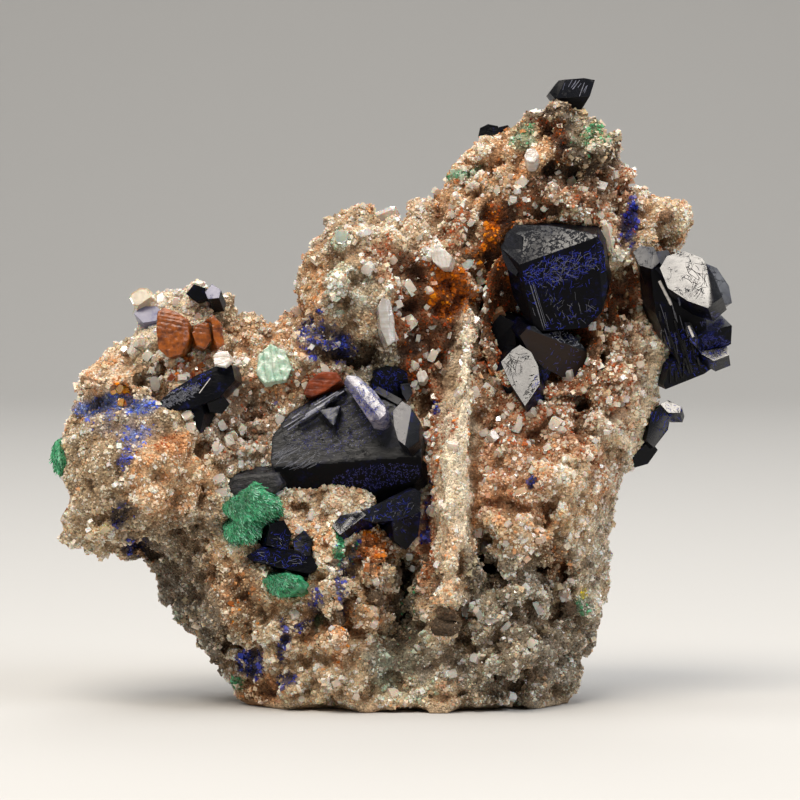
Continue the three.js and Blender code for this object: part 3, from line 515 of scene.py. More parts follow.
BASE_MIX: Mix = {CREAM: 42, SAND: 20, GREY: 12, ROSE: 18, RUST: 8}
ZONES: dict[str, Zone] = {
    "left lobe": Zone(135, 480, 84, 92, {SAND: 58, CREAM: 20, GREY: 10, DARK_SAND_AND_SHADE: 12}),
    "lobe's peach belly": Zone(172, 478, 44, 46, {PEACH: 50, CREAM: 26, SAND: 24}),
    "lobe's red streak": Zone(172, 446, 16, 14, {RUST: 35, PEACH: 65}, turn=30),
    "lobe's foot": Zone(96, 540, 44, 30, {SAND: 34, CREAM: 54, GREY: 12}),
    "foot's pale crystals": Zone(104, 528, 9, 9, {CREAM: 80, LEMON: 5, PEACH: 15}),
    "foot's dark crystals": Zone(122, 516, 10, 14, {INDIGO: 35, DARK_SAND_AND_SHADE: 65}, turn=20),
    "lip over the shelf": Zone(102, 370, 42, 22, {MARBLE: 40, PEACH: 40, CREAM: 20}),
    "south-west flank": Zone(200, 590, 66, 82, {DARK_SAND_AND_SHADE: 24, SAND: 36, GREY: 40}),
    "south-west rim": Zone(178, 610, 22, 90, {GREY: 55, DARK_SAND_AND_SHADE: 45}, turn=-32),
    "south-west band": Zone(238, 600, 22, 54, {PEACH: 24, SAND: 44, DARK_SAND_AND_SHADE: 28, OCHRE: 4}, turn=-24),
    "white by the fan": Zone(228, 548, 18, 12, {CREAM: 80, PEACH: 20}, turn=20),
    "south foot": Zone(350, 660, 110, 54, {SAND: 16, CREAM: 70, PEACH: 9, SUGAR: 5}),
    "foot's grey": Zone(400, 660, 36, 36, {GREY: 60, DARK_SAND_AND_SHADE: 25, MINT: 15}),
    "south corner": Zone(262, 690, 20, 16, {PEACH: 50, UMBER: 30, SAND: 20}),
    "under the slab": Zone(330, 590, 62, 66, {SAND: 42, PEACH: 25, CREAM: 24, RUST: 4, SUGAR: 5}),
    "front ridge": Zone(333, 602, 12, 76, {CREAM: 60, PEACH: 30, SAND: 10}, turn=-3),
    "ridge's orange": Zone(342, 628, 8, 40, {PEACH: 70, OCHRE: 10, SAND: 20}),
    "orange column": Zone(374, 545, 12, 30, {PEACH: 50, OCHRE: 30, RUST: 20}),
    "white below the slab": Zone(328, 512, 44, 16, {CREAM: 55, ROSE: 30, MARBLE: 15}, turn=-8),
    "peach below it": Zone(300, 540, 28, 16, {PEACH: 65, CREAM: 30, RUST: 5}),
    # Painted shade: the dark sand in the groove left of the rib stands for its shade; the strokes also press
    # the groove in
    "groove left of the rib": Zone(402, 606, 18, 44, {DARK_SAND_AND_SHADE: 70, GREY: 25, GREEN: 5}),
    "lump left of the rib": Zone(386, 600, 11, 20, {ROSE: 60, CREAM: 40}),
    "south-east": Zone(520, 632, 92, 78, {GREY: 46, DARK_SAND_AND_SHADE: 26, CREAM: 16, MINT: 2, SUGAR: 10}),
    "east flank": Zone(600, 530, 26, 96, {GREY: 35, CREAM: 42, MARBLE: 13, DARK_SAND_AND_SHADE: 10}, turn=8),
    "east foot": Zone(570, 655, 36, 34, {GREY: 75, DARK_SAND_AND_SHADE: 15, CREAM: 10}),
    # Painted shade: the dark sand in the hollows by the rib and under the bench stands for their shade; the
    # strokes also press them in
    "hollow by the rib": Zone(480, 566, 20, 26, {DARK_SAND_AND_SHADE: 70, GREY: 30}),
    "hollow under the bench": Zone(556, 560, 18, 24, {DARK_SAND_AND_SHADE: 55, UMBER: 15, PEACH: 30}),
    "east bench": Zone(548, 472, 66, 54, {CREAM: 22, ROSE: 26, PEACH: 30, RUST: 18, SUGAR: 4}),
    "bench's warm side": Zone(500, 470, 34, 44, {ROSE: 30, PEACH: 26, RUST: 22, CREAM: 12, SUGAR: 10}),
    "bench's lip": Zone(515, 532, 40, 18, {PEACH: 42, SAND: 18, CREAM: 30, SUGAR: 10}),
    "bench's east lobe": Zone(574, 500, 22, 40, {CREAM: 50, SAND: 24, PEACH: 20, SUGAR: 6}),
    "east shoulder": Zone(630, 388, 48, 62, {CREAM: 52, MARBLE: 34, ROSE: 6, RUST: 5, SUGAR: 3}),
    "white shoulder": Zone(640, 356, 30, 40, {CREAM: 42, MARBLE: 55, RUST: 3}),
    "red on the shoulder": Zone(600, 380, 34, 34, {RUST: 36, ROSE: 34, CREAM: 24, SUGAR: 6}, turn=30),
    "brow": Zone(548, 196, 92, 46, {ROSE: 12, RUST: 38, UMBER: 32, CREAM: 11, SUGAR: 7}),
    "brow's rim": Zone(556, 222, 38, 12, {CREAM: 60, PEACH: 20, RUST: 20}, turn=-8),
    "north-east": Zone(668, 214, 34, 30, {CREAM: 50, PEACH: 14, ROSE: 14, SAND: 22}),
    "peak": Zone(570, 140, 56, 42, {DARK_SAND_AND_SHADE: 55, SAND: 5, UMBER: 40}),
    "peak's grey cap": Zone(592, 130, 26, 22, {GREY: 50, CREAM: 20, DARK_SAND_AND_SHADE: 22, GREEN: 8}),
    "peak's brown throat": Zone(548, 142, 18, 26, {UMBER: 66, RUST: 24, DARK_SAND_AND_SHADE: 10}),
    "peak's left": Zone(520, 150, 30, 26, {PEACH: 50, SAND: 35, CREAM: 15}),
    "north slope": Zone(468, 182, 48, 36, {CREAM: 36, PEACH: 46, SAND: 4, RUST: 6, SUGAR: 8}),
    "round the hollow": Zone(550, 330, 92, 112, {RUST: 40, UMBER: 20, CREAM: 18, ROSE: 16, SUGAR: 6}),
    "in the hollow": Zone(545, 300, 66, 84, {UMBER: 60, RUST: 34, CLEAR: 6}),
    "tower": Zone(346, 268, 54, 64, {CREAM: 16, SAND: 38, PEACH: 14, GREY: 28, SUGAR: 4}),
    "tower's pale side": Zone(372, 232, 30, 18, {CREAM: 60, PEACH: 12, GREY: 16, SUGAR: 12}),
    "tower's left edge": Zone(312, 300, 14, 44, {PEACH: 55, SAND: 30, CREAM: 15}),
    "tower's grey": Zone(352, 290, 22, 26, {GREY: 50, MINT: 8, CREAM: 28, SUGAR: 14}),
    "tower's brown side": Zone(424, 330, 36, 72, {UMBER: 52, RUST: 36, CLEAR: 4, ROSE: 4, SUGAR: 4}),
    "saddle": Zone(268, 344, 50, 24, {CREAM: 36, PEACH: 36, ROSE: 18, SUGAR: 10}),
    "white by the green": Zone(282, 378, 22, 16, {MARBLE: 60, CREAM: 40}),
    "north-west head": Zone(190, 304, 40, 26, {CREAM: 46, MARBLE: 32, ROSE: 8, SUGAR: 14}),
    "head's right": Zone(222, 312, 14, 18, {SAND: 60, DARK_SAND_AND_SHADE: 40}),
    "white round the amber": Zone(165, 345, 46, 38, {CREAM: 42, MARBLE: 36, SUGAR: 22}),
    "rust under the amber": Zone(184, 366, 24, 16, {RUST: 42, OCHRE: 20, CREAM: 16, SUGAR: 22}),
    # Painted shade: the dark sand left of the slab and under the tower stands for their shade
    "left of the slab": Zone(240, 424, 40, 44, {ROSE: 26, GREY: 24, DARK_SAND_AND_SHADE: 22, RUST: 10, SUGAR: 18}),
    "over the slab": Zone(300, 385, 44, 18, {PEACH: 30, DARK_SAND_AND_SHADE: 30, RUST: 20, ROSE: 10, SUGAR: 10}),
    "tower's shade": Zone(368, 360, 32, 22, {DARK_SAND_AND_SHADE: 55, GREY: 30, CREAM: 15}),
    "ochre brow": Zone(490, 238, 26, 36, {OCHRE: 18, UMBER: 78, RUST: 4}, turn=12, hold=0.95),
    "brow's bright ochre": Zone(488, 232, 12, 20, {OCHRE: 80, UMBER: 20}, turn=10),
    "ochre patch": Zone(449, 292, 24, 28, {OCHRE: 80, UMBER: 18, RUST: 2}, turn=-14, hold=0.97),
    "ochre drop": Zone(516, 281, 7, 7, {OCHRE: 100}),
    "rust on the tower": Zone(386, 262, 20, 20, {RUST: 50, UMBER: 10, CREAM: 30, SUGAR: 10}, turn=40),
    "rust over the tower": Zone(462, 228, 20, 22, {RUST: 50, CREAM: 35, UMBER: 15}),
    "rust under the hollow": Zone(512, 426, 44, 22, {RUST: 42, ROSE: 28, UMBER: 6, CREAM: 12, SUGAR: 12}),
    "umber by the block": Zone(618, 292, 18, 42, {UMBER: 60, RUST: 35, CREAM: 5}),
    "pale by the block": Zone(616, 262, 10, 14, {CREAM: 90, ROSE: 10}),
    "rib's head": Zone(465, 350, 11, 48, {MARBLE: 62, CREAM: 22, RUST: 8, SUGAR: 8}, turn=2),
    "rib": Zone(455, 465, 21, 112, {MARBLE: 74, CREAM: 20, SUGAR: 6}, turn=1),
    "rib's red top": Zone(446, 424, 14, 16, {RUST: 40, MARBLE: 60}, turn=20),
    "rib's foot": Zone(446, 580, 18, 60, {MARBLE: 24, CREAM: 36, PEACH: 26, SAND: 14}),
    "rib's peach side": Zone(474, 470, 5, 80, {PEACH: 70, MARBLE: 30}, turn=2),
    "rib's rusty edge": Zone(429, 470, 8, 96, {RUST: 55, ROSE: 20, CREAM: 10, SUGAR: 15}, turn=1),
    "edge's foot": Zone(424, 560, 12, 34, {RUST: 30, ROSE: 50, PEACH: 20}),
    "blue shelf": Zone(116, 405, 44, 12, {BLUE: 82, GREY: 18}, turn=-6, hold=0.95),
    "blue fading down": Zone(124, 424, 34, 16, {BLUE: 26, SAND: 54, GREY: 20}, hold=0.8),
    "blue trail": Zone(134, 438, 10, 18, {BLUE: 36, SAND: 64}, turn=20, hold=0.8),
    "blue spot": Zone(124, 458, 9, 12, {INDIGO: 60, SAND: 40}),
    "blue under the lobe": Zone(138, 545, 12, 8, {INDIGO: 50, DARK_SAND_AND_SHADE: 50}),
    "blue by the slab": Zone(324, 342, 31, 20, {INDIGO: 88, CREAM: 12}, turn=24),
    "blue heart of the shelf": Zone(122, 404, 16, 7, {BLUE: 85, GREY: 15}),
    "blue dot over it": Zone(321, 311, 4, 4, {INDIGO: 100}),
    "blue under the brow": Zone(629, 224, 8, 24, {INDIGO: 90, RUST: 10}, turn=14),
    "blue at the foot": Zone(250, 664, 14, 14, {INDIGO: 75, DARK_SAND_AND_SHADE: 25}),
    "blue streak in the flank": Zone(282, 640, 6, 22, {INDIGO: 75, SAND: 25}, turn=-8),
    "blue fork": Zone(300, 626, 18, 6, {INDIGO: 55, SAND: 45}, turn=-30),
    "blue corner": Zone(286, 682, 10, 9, {INDIGO: 80, SAND: 20}),
    "blue by the ridge": Zone(316, 600, 8, 16, {INDIGO: 60, SAND: 40}),
    "blue streak": Zone(343, 590, 6, 34, {INDIGO: 75, CREAM: 25}, turn=4),
    "blue thread": Zone(357, 556, 5, 20, {INDIGO: 80, GREEN: 20}),
    "blue by the glint": Zone(430, 408, 6, 10, {INDIGO: 80, RUST: 20}),
    "blue drips": Zone(427, 505, 4, 30, {INDIGO: 75, RUST: 25}),
    "blue low drip": Zone(424, 538, 5, 8, {INDIGO: 90, RUST: 10}),
    "blue dot": Zone(535, 487, 4, 4, {INDIGO: 100}),
    "blue on the edge": Zone(614, 557, 5, 12, {INDIGO: 70, GREY: 30}),
    "blue under the fan": Zone(648, 458, 10, 12, {INDIGO: 60, SAND: 40}),
    "green on the peak": Zone(525, 135, 14, 9, {GREEN: 30, MINT: 30, SAND: 40}),
    "green at its right": Zone(600, 134, 16, 12, {GREEN: 40, SAND: 60}),
    "green line": Zone(460, 172, 20, 4, {GREEN: 60, MINT: 40}, turn=-14),
    "green on the tower": Zone(342, 238, 9, 12, {MINT: 40, CREAM: 60}),
    "green below it": Zone(338, 272, 8, 10, {MINT: 45, CREAM: 55}),
    "green at the foot": Zone(582, 604, 10, 12, {GREEN: 40, GREY: 60}),
    "lemon dots": Zone(581, 590, 4, 7, {LEMON: 60, GREY: 40}),
    "green patch": Zone(340, 548, 7, 18, {GREEN: 80, INDIGO: 20}),
    "green drop": Zone(318, 622, 7, 7, {GREEN: 70, SAND: 30}),
    "green at the left edge": Zone(175, 625, 8, 12, {MINT: 70, GREEN: 30}, turn=-30),
    "green corner": Zone(239, 686, 6, 5, {GREEN: 80, SAND: 20}),
    "foot's faint green": Zone(400, 690, 34, 12, {MINT: 40, CREAM: 60}, hold=0.6),
    "flame spot": Zone(121, 390, 8, 5, {FLAME: 100}),
    "flame crumb": Zone(121, 402, 5, 4, {FLAME: 100}),
    "back's fresh break": Zone(330, 470, 92, 84, {GREY: 40, SAND: 35, CREAM: 25}, side=Side.BACK, hold=0.8),
    "back's ochre seam": Zone(470, 420, 16, 96, {OCHRE: 40, UMBER: 40, PEACH: 20}, 24, 0.8, Side.BACK),
    "back's rusty hollow": Zone(520, 300, 70, 80, {RUST: 40, UMBER: 20, CREAM: 40}, side=Side.BACK),
    "back's grey foot": Zone(420, 620, 170, 96, {GREY: 45, DARK_SAND_AND_SHADE: 25, SAND: 30}, side=Side.BACK),
    "back's lobe": Zone(140, 470, 84, 84, {SAND: 70, PEACH: 30}, side=Side.BACK),
    "back's blue": Zone(300, 420, 26, 34, {INDIGO: 70, CREAM: 30}, side=Side.BACK),
    "back's green": Zone(350, 500, 20, 24, {GREEN: 50, SAND: 50}, side=Side.BACK),
}


class Ground:
    """Says what the rock's surface is made of at any place, and paints shade into its low places and light
    onto its high ones.
    """

    wander_px = ((26.0, 3.2, 5), (9.0, 1.0, 7))
    clusters_mm = 1.7
    cluster_pull = 2.1
    # Colour factors by how far a place stands over its surroundings: below 1 in pits for iron stain and
    # painted shade, above 1 on high places for painted light
    stains_and_shade = (
        (-0.55, (0.4, 0.32, 0.25)),
        (-0.22, (0.78, 0.71, 0.64)),
        (0.0, (0.99, 0.97, 0.95)),
        (0.35, (1.1, 1.12, 1.14)),
    )

    def shares(self, points: ndarray, normals: ndarray) -> ndarray:
        """Mix the zones' minerals.

        Args:
            points: Places on the surface.
            normals: Its outward directions there.

        Returns:
            One row to a point, with a share for each mineral.
        """
        pixels = SIGHT.pixels(points)
        for reach, size_mm, seed in self.wander_px:
            drift = [layered_noise(points, size_mm, seed + i) for i in range(2)]
            pixels = pixels + reach * np.column_stack(drift) * 0.4
        found = np.zeros((len(points), len(MINERALS)))
        for mineral, share in BASE_MIX.items():
            found[:, MINERALS.index(mineral)] = share / 100
        for zone in ZONES.values():
            cover = zone.cover(pixels, normals[:, 1])
            found *= (1 - cover)[:, None]
            for mineral, share in zone.mix.items():
                found[:, MINERALS.index(mineral)] += cover * (share / 100)
        return found

    def clustered(self, points: ndarray, shares: ndarray) -> ndarray:
        """Draw each mineral together in patches; the shares come back as logarithms, not scaled."""
        pulls = [layered_noise(points, self.clusters_mm, 40 + i, 2) for i in range(len(MINERALS))]
        return np.log(shares + 1e-6) + self.cluster_pull * np.column_stack(pulls)

    def tones(self, pulls: ndarray) -> ndarray:
        """Mix the colour of the rock between its grains.

        Args:
            pulls: Logarithms of the minerals' shares, one row to a point.

        Returns:
            Linear red, green and blue, one row to a point.
        """
        weights = np.exp(pulls)
        weights /= weights.sum(axis=1, keepdims=True)
        grounds = np.array([linear(mineral.value.ground) for mineral in MINERALS])
        return weights @ grounds

    def stained_and_shaded(self, tones: ndarray, rise: ndarray) -> ndarray:
        """Darken what lies low, as iron stain and painted shade, and lighten what stands high, as painted
        light.

        Args:
            tones: Linear colours, one row to a point.
            rise: How far each point stands over its surroundings, in millimetres.

        Returns:
            The new colours.
        """
        heights, shares = zip(*self.stains_and_shade)
        part = [np.interp(rise, heights, channel) for channel in zip(*shares)]
        return tones * np.column_stack(part)


GROUND = Ground()


@dataclass(frozen=True)
class Stroke(Place):
    """A place of the front that is pressed in or drawn out."""

    push_mm: float  # how far it comes to the viewer, or goes back where it is below 0
    turn: float = 0.0  # degrees that it is turned clockwise
    soft: float = 0.5  # width of its sloping rim, as a share of the oval

    def push(self, pixels: ndarray) -> ndarray:
        """Give how far each point moves to the viewer, in millimetres."""
        apart = oval(pixels, self.column, self.row, self.wide, self.tall, self.turn)
        return self.push_mm * step_between(1 + self.soft / 2, 1 - self.soft, apart)


STROKES: dict[str, Stroke] = {
    "hollow by the rib": Stroke(482, 568, 20, 26, -4.5, -25, 0.35),
    "hollow under the bench": Stroke(556, 562, 20, 22, -4.0, 0, 0.4),
    "crease in the bench": Stroke(544, 520, 6, 22, -2.2, 10),
    "bench's lobe": Stroke(515, 535, 30, 24, 1.6, -8),
    "bench's east lobe": Stroke(573, 505, 16, 30, 1.6, 12),
    "groove left of the rib": Stroke(404, 606, 17, 42, -4.0, 4, 0.4),
    "lump left of the rib": Stroke(386, 600, 9, 18, 2.0),
    "pit in the foot": Stroke(393, 683, 7, 6, -2.2, 0, 0.4),
    "cleft in the foot": Stroke(508, 682, 18, 8, -3.0, -8, 0.4),
    "pit by the rib's foot": Stroke(472, 641, 12, 7, -2.2),
    "cleft by the bright stick": Stroke(556, 608, 9, 17, -3.0, 14, 0.4),
    "lump by it": Stroke(500, 606, 26, 20, 1.6),
    "south-east lump": Stroke(520, 652, 30, 18, 1.4),
    "tower's bulge": Stroke(330, 268, 26, 34, 1.2),
    "under the tower": Stroke(362, 352, 20, 10, -3.2, -10),
    "left of the slab": Stroke(256, 402, 26, 20, -2.0),
    "crevice behind the lobe": Stroke(204, 446, 9, 36, -2.2, -30),
    "lip": Stroke(100, 371, 40, 15, 2.2, -6, 0.35),
    "notch under the lip": Stroke(112, 396, 40, 6, -1.8, -6),
    "slit in the lobe": Stroke(129, 524, 5, 14, -2.6, 20),
    "pit in the lobe": Stroke(98, 521, 7, 6, -1.8),
    "lobe's dimple": Stroke(163, 477, 8, 6, -1.4),
    "lobe's lower shelf": Stroke(172, 512, 30, 5, 1.4, 4, 0.4),
    "notch under the lobe": Stroke(152, 552, 14, 9, -3.0, 20),
    "notch in the flank": Stroke(228, 643, 8, 11, -3.0, 20),
    "flank's fold": Stroke(190, 560, 9, 34, -1.6, -20),
    "front ridge": Stroke(333, 602, 11, 74, 2.4, -3, 0.4),
    "groove beside it": Stroke(350, 592, 6, 46, -1.8, 2),
    "orange column": Stroke(374, 548, 11, 26, 1.6),
    "cleft right of it": Stroke(398, 560, 12, 20, -2.0),
    "brow's rim": Stroke(556, 218, 36, 10, 2.2, -8, 0.4),
    "brow's corner": Stroke(604, 232, 12, 12, 1.6),
    "crease over the hollow": Stroke(512, 250, 8, 18, -1.6, 20),
    "right of the block": Stroke(620, 296, 12, 34, -2.6),
    "north lump": Stroke(505, 186, 18, 12, 1.6),
    "fold under the peak": Stroke(560, 168, 24, 10, -2.2, -6),
    "peak's right lump": Stroke(594, 126, 16, 16, 1.4),
    "valley by the tower": Stroke(424, 226, 10, 18, -1.8, 30),
    "head's pale lump": Stroke(150, 298, 18, 10, 2.0),
    "white lumps": Stroke(146, 334, 12, 12, 1.4),
    "crevice by the amber": Stroke(176, 302, 8, 7, -1.4),
    "under the saddle": Stroke(236, 388, 22, 7, -1.8),
    "red crevice": Stroke(300, 388, 16, 9, -1.8),
}


# Finishes


def add_node(
    tree: NodeTree,
    kind: str,
    inputs: dict[str | int, object] | Sequence[object],
    out: str | int = 0,
    stops: Sequence[tuple[float, str]] = (),
    **settings: object,
) -> NodeSocket | None:
    """Add a shader node, set it up and link it.

    Args:
        tree: The node tree.
        kind: The node's type, without the word that all the types start with.
        inputs: Values or output sockets, by the input's name or number, or for the first inputs in order.
        out: Which output is wanted.
        stops: Place and hex colour of each stop, for a colour ramp.
        settings: The node's own settings.

    Returns:
        The output, or nothing where the node has none.
    """
    made = tree.nodes.new(f"ShaderNode{kind}")
    for name, value in settings.items():
        setattr(made, name, value)
    for i, (position, code) in enumerate(stops):
        made.color_ramp.elements[i].position = position
        made.color_ramp.elements[i].color = rgba(code)
    for name, value in inputs.items() if isinstance(inputs, dict) else enumerate(inputs):
        if isinstance(value, NodeSocket):
            tree.links.new(value, made.inputs[name])
        else:
            made.inputs[name].default_value = value
    return made.outputs[out] if made.outputs else None


def new_material(name: str) -> tuple[Material, NodeTree, NodeSocket]:
    """Start a material with only the coordinates that its patterns read."""
    material = bpy.data.materials.new(name)
    material.use_nodes = True
    tree = material.node_tree
    tree.nodes.clear()
    return material, tree, add_node(tree, "TexCoord", {}, "Object")


def per(size_mm: float) -> float:
    """Turn a pattern's size to the scale that its node takes."""
    return 1 / (size_mm * MM)


@dataclass(frozen=True)
class CrystalCrust:
    """A crust of small crystals whose colours are in the mesh."""

    name: str
    roughness: float  # of the crystals' faces
    ior: float  # of the mineral
    glow: float = 0.0  # how much light passes through thin grains
    clear: float = 0.0  # how much of the light passes straight through
    mottle_mm: float = 0.3  # width of the paler and darker spots in a grain
    mottle: float = 0.22  # how far the spots differ from the grain's colour
    specular: float = 0.5  # strength of the gloss
    dusty_mm: float = 0.7  # width of the glossier and duller patches

    def make(self) -> Material:
        """Build the material."""
        material, tree, at = new_material(self.name)
        tone = add_node(tree, "Attribute", {}, attribute_name="tone")
        spots = add_node(tree, "TexNoise", {"Vector": at, "Scale": per(self.mottle_mm), "Detail": 3.0})
        shade = add_node(tree, "MapRange", (spots, 0.3, 0.7, 1 - self.mottle, 1 + self.mottle))
        colour = add_node(tree, "VectorMath", {0: tone, "Scale": shade}, operation="SCALE")
        bump = add_node(tree, "Bump", {"Height": spots, "Strength": 0.35, "Distance": 0.1 * MM})
        dusty = add_node(tree, "TexNoise", {"Vector": at, "Scale": per(self.dusty_mm), "Detail": 2.0})
        dull, glossy = min(1.0, self.roughness * 1.6), self.roughness * 0.4
        gloss = add_node(tree, "MapRange", (dusty, 0.35, 0.65, glossy, dull))
        shader = add_node(
            tree, "BsdfPrincipled",
            {"Base Color": colour, "Roughness": gloss, "IOR": self.ior, "Normal": bump,
             "Specular IOR Level": self.specular, "Transmission Weight": self.clear,
             "Subsurface Weight": self.glow, "Subsurface Scale": 0.45 * MM},
        )
        add_node(tree, "OutputMaterial", {"Surface": shader})
        return material


@dataclass(frozen=True)
class OreGround:
    """Broken dolomite and limonite between the grains: pitted, sandy, and sparkling in spots."""

    name: str = "broken_dolomite_ore"
    roughness: float = 0.7  # of its surface
    pit_mm: float = 0.4  # width of its pits
    cell_mm: float = 0.3  # width of its sand grains

    def make(self) -> Material:
        """Build the material."""
        material, tree, at = new_material(self.name)
        tone = add_node(tree, "Attribute", {}, attribute_name="tone")
        grit = add_node(tree, "TexNoise", {"Vector": at, "Scale": per(self.pit_mm), "Detail": 5.0})
        cells = add_node(tree, "TexVoronoi", {"Vector": at, "Scale": per(self.cell_mm)}, "Color")
        each = add_node(tree, "SeparateColor", (cells,))
        mixed = add_node(tree, "Math", (grit, each), operation="ADD")
        shade = add_node(tree, "MapRange", (mixed, 0.4, 1.6, 0.45, 1.4))
        colour = add_node(tree, "VectorMath", {0: tone, "Scale": shade}, operation="SCALE")
        middles = cells.node.outputs["Distance"]
        deep = 0.25 * MM
        grain = add_node(tree, "Bump", {"Height": middles, "Strength": 0.9, "Distance": deep}, invert=True)
        bump = add_node(tree, "Bump", {"Height": grit, "Strength": 0.8, "Distance": deep, "Normal": grain})
        shader = add_node(
            tree, "BsdfPrincipled",
            {"Base Color": colour, "Roughness": self.roughness, "IOR": 1.65, "Normal": bump,
             "Specular IOR Level": 0.25},
        )
        add_node(tree, "OutputMaterial", {"Surface": shader})
        return material


@dataclass(frozen=True)
class AzuriteFace:
    """Azurite: almost black in thick crystals, blue where it is thin, with glassy to etched faces."""

    name: str
    roughness: float  # of its faces
    specular: float  # strength of its gloss
    hammered: float  # depth of the small growth marks, in millimetres
    dark: str = "#04050a"  # its main colour
    frost: str = "#141c5c"  # its colour where it is etched
    frosted: float = 0.56  # where in the pattern the etching starts; less etches more
    cracked: float = 0.0  # how much of it a net of black cracks covers
    ior: float = 1.78  # of the mineral
    cloud_mm: float = 2.4  # width of its etched patches
    crack_mm: float = 0.9  # width of the net's meshes
    gap: float = 0.1  # width of the cracks, as a share of a mesh
    bend_mm: float = 2.6  # how far the cracks stray from straight lines

    def make(self) -> Material:
        """Build the material."""
        material, tree, at = new_material(self.name)
        cloud = add_node(
            tree, "TexNoise", {"Vector": at, "Scale": per(self.cloud_mm), "Detail": 9.0, "Roughness": 0.78}
        )
        stops = ((self.frosted, self.dark), (self.frosted + 0.14, self.frost))
        colour = add_node(tree, "ValToRGB", {"Fac": cloud}, stops=stops)
        stretched = add_node(
            tree, "Mapping", {"Vector": at, "Rotation": (0.3, 0.35, 0.5), "Scale": (0.3, 1, 1)}
        )
        marks = add_node(
            tree, "TexNoise", {"Vector": stretched, "Scale": per(0.7), "Detail": 7.0, "Roughness": 0.7}
        )
        bump = add_node(tree, "Bump", {"Height": marks, "Strength": 1.0, "Distance": self.hammered * MM})
        gloss = add_node(tree, "MapRange", (cloud, 0.35, 0.75, self.roughness, self.roughness + 0.2))
        if self.cracked:
            gloss, bump = self.add_cracks(tree, at, gloss, bump)
        shader = add_node(
            tree, "BsdfPrincipled",
            {"Base Color": colour, "Roughness": gloss, "IOR": self.ior, "Normal": bump,
             "Specular IOR Level": self.specular},
        )
        add_node(tree, "OutputMaterial", {"Surface": shader})
        return material

    def add_cracks(
        self, tree: NodeTree, at: NodeSocket, gloss: NodeSocket, bump: NodeSocket
    ) -> tuple[NodeSocket, NodeSocket]:
        """Etch a broken net of cracks, whose rough walls mirror nothing.

        Args:
            tree: The node tree.
            at: Coordinates.
            gloss: Roughness of the whole faces.
            bump: Normal of the whole faces.

        Returns:
            Roughness and normal with the cracks.
        """
        bent = add_node(tree, "TexNoise", {"Vector": at, "Scale": per(0.9), "Detail": 4.0}, "Color")
        reach = (self.bend_mm * MM,) * 3
        moved = add_node(tree, "VectorMath", (bent, reach, at), operation="MULTIPLY_ADD")
        edges = add_node(
            tree, "TexVoronoi", {"Vector": moved, "Scale": per(self.crack_mm)}, feature="DISTANCE_TO_EDGE"
        )
        where = add_node(tree, "TexNoise", {"Vector": at, "Scale": per(1.3), "Detail": 5.0})
        covered = 0.3 * self.cracked
        width = add_node(tree, "MapRange", (where, 0.62 - covered, 0.84 - covered, 0.0, self.gap))
        inside = add_node(tree, "Math", (edges, width), operation="LESS_THAN")
        rough = add_node(tree, "Math", (inside, 0.75, gloss), operation="MULTIPLY_ADD")
        groove = {"Height": inside, "Strength": 0.6, "Distance": 0.1 * MM, "Normal": bump}
        return rough, add_node(tree, "Bump", groove, invert=True)


@dataclass(frozen=True)
class Cerussite:
    """Cerussite: a heavy glassy crystal with high gloss, clear to milky, often striped by its growth."""

    name: str
    pale: str  # its lighter colour
    deep: str  # its darker colour
    clear: float  # how much of the light passes straight through
    roughness: float = 0.15  # of its faces
    glow: float = 0.2  # how much light spreads inside it
    band_mm: float = 0.5  # distance between its growth stripes
    banded: float = 0.4  # how strongly the stripes show
    blotch_mm: float = 1.6  # size of its paler and darker clouds
    ior: float = 1.9  # of the mineral
    specular: float = 0.5  # strength of its gloss

    def make(self) -> Material:
        """Build the material."""
        material, tree, at = new_material(self.name)
        stretched = add_node(
            tree, "Mapping", {"Vector": at, "Rotation": (0.15, 0.3, 0.1), "Scale": (0.12, 0.3, 1)}
        )
        bands = add_node(tree, "TexNoise", {"Vector": stretched, "Scale": per(self.band_mm), "Detail": 3.0})
        blotches = add_node(
            tree, "TexNoise", {"Vector": at, "Scale": per(self.blotch_mm), "Detail": 8.0, "Roughness": 0.7}
        )
        mixed = add_node(tree, "Mix", {"Factor": self.banded, "A": blotches, "B": bands}, data_type="FLOAT")
        colour = add_node(tree, "ValToRGB", {"Fac": mixed}, stops=((0.38, self.deep), (0.6, self.pale)))
        grooved = add_node(tree, "Bump", {"Height": bands, "Strength": self.banded, "Distance": 0.2 * MM})
        bump = add_node(
            tree, "Bump", {"Height": blotches, "Strength": 0.5, "Distance": 0.15 * MM, "Normal": grooved}
        )
        shader = add_node(
            tree, "BsdfPrincipled",
            {"Base Color": colour, "Roughness": self.roughness, "IOR": self.ior, "Normal": bump,
             "Specular IOR Level": self.specular, "Transmission Weight": self.clear,
             "Subsurface Weight": self.glow, "Subsurface Scale": 1.2 * MM},
        )
        add_node(tree, "OutputMaterial", {"Surface": shader})
        return material


@dataclass(frozen=True)
class StudioPaper:
    """Matt paper: even, with a faint tooth."""

    name: str = "studio_paper"
    shade: str = "#c6c4c0"

    def make(self) -> Material:
        """Build the material."""
        material, tree, at = new_material(self.name)
        tooth = add_node(tree, "TexNoise", {"Vector": at, "Scale": per(1.5)})
        bump = add_node(tree, "Bump", {"Height": tooth, "Strength": 0.05, "Distance": 0.1 * MM})
        shader = add_node(
            tree, "BsdfPrincipled", {"Base Color": rgba(self.shade), "Roughness": 0.9, "Normal": bump}
        )
        add_node(tree, "OutputMaterial", {"Surface": shader})
        return material


# Grains


@dataclass(frozen=True)
class Form:
    """A small shape as arrays: its corners, and its faces' corner numbers one after another."""

    corners: ndarray
    loops: ndarray
    counts: ndarray


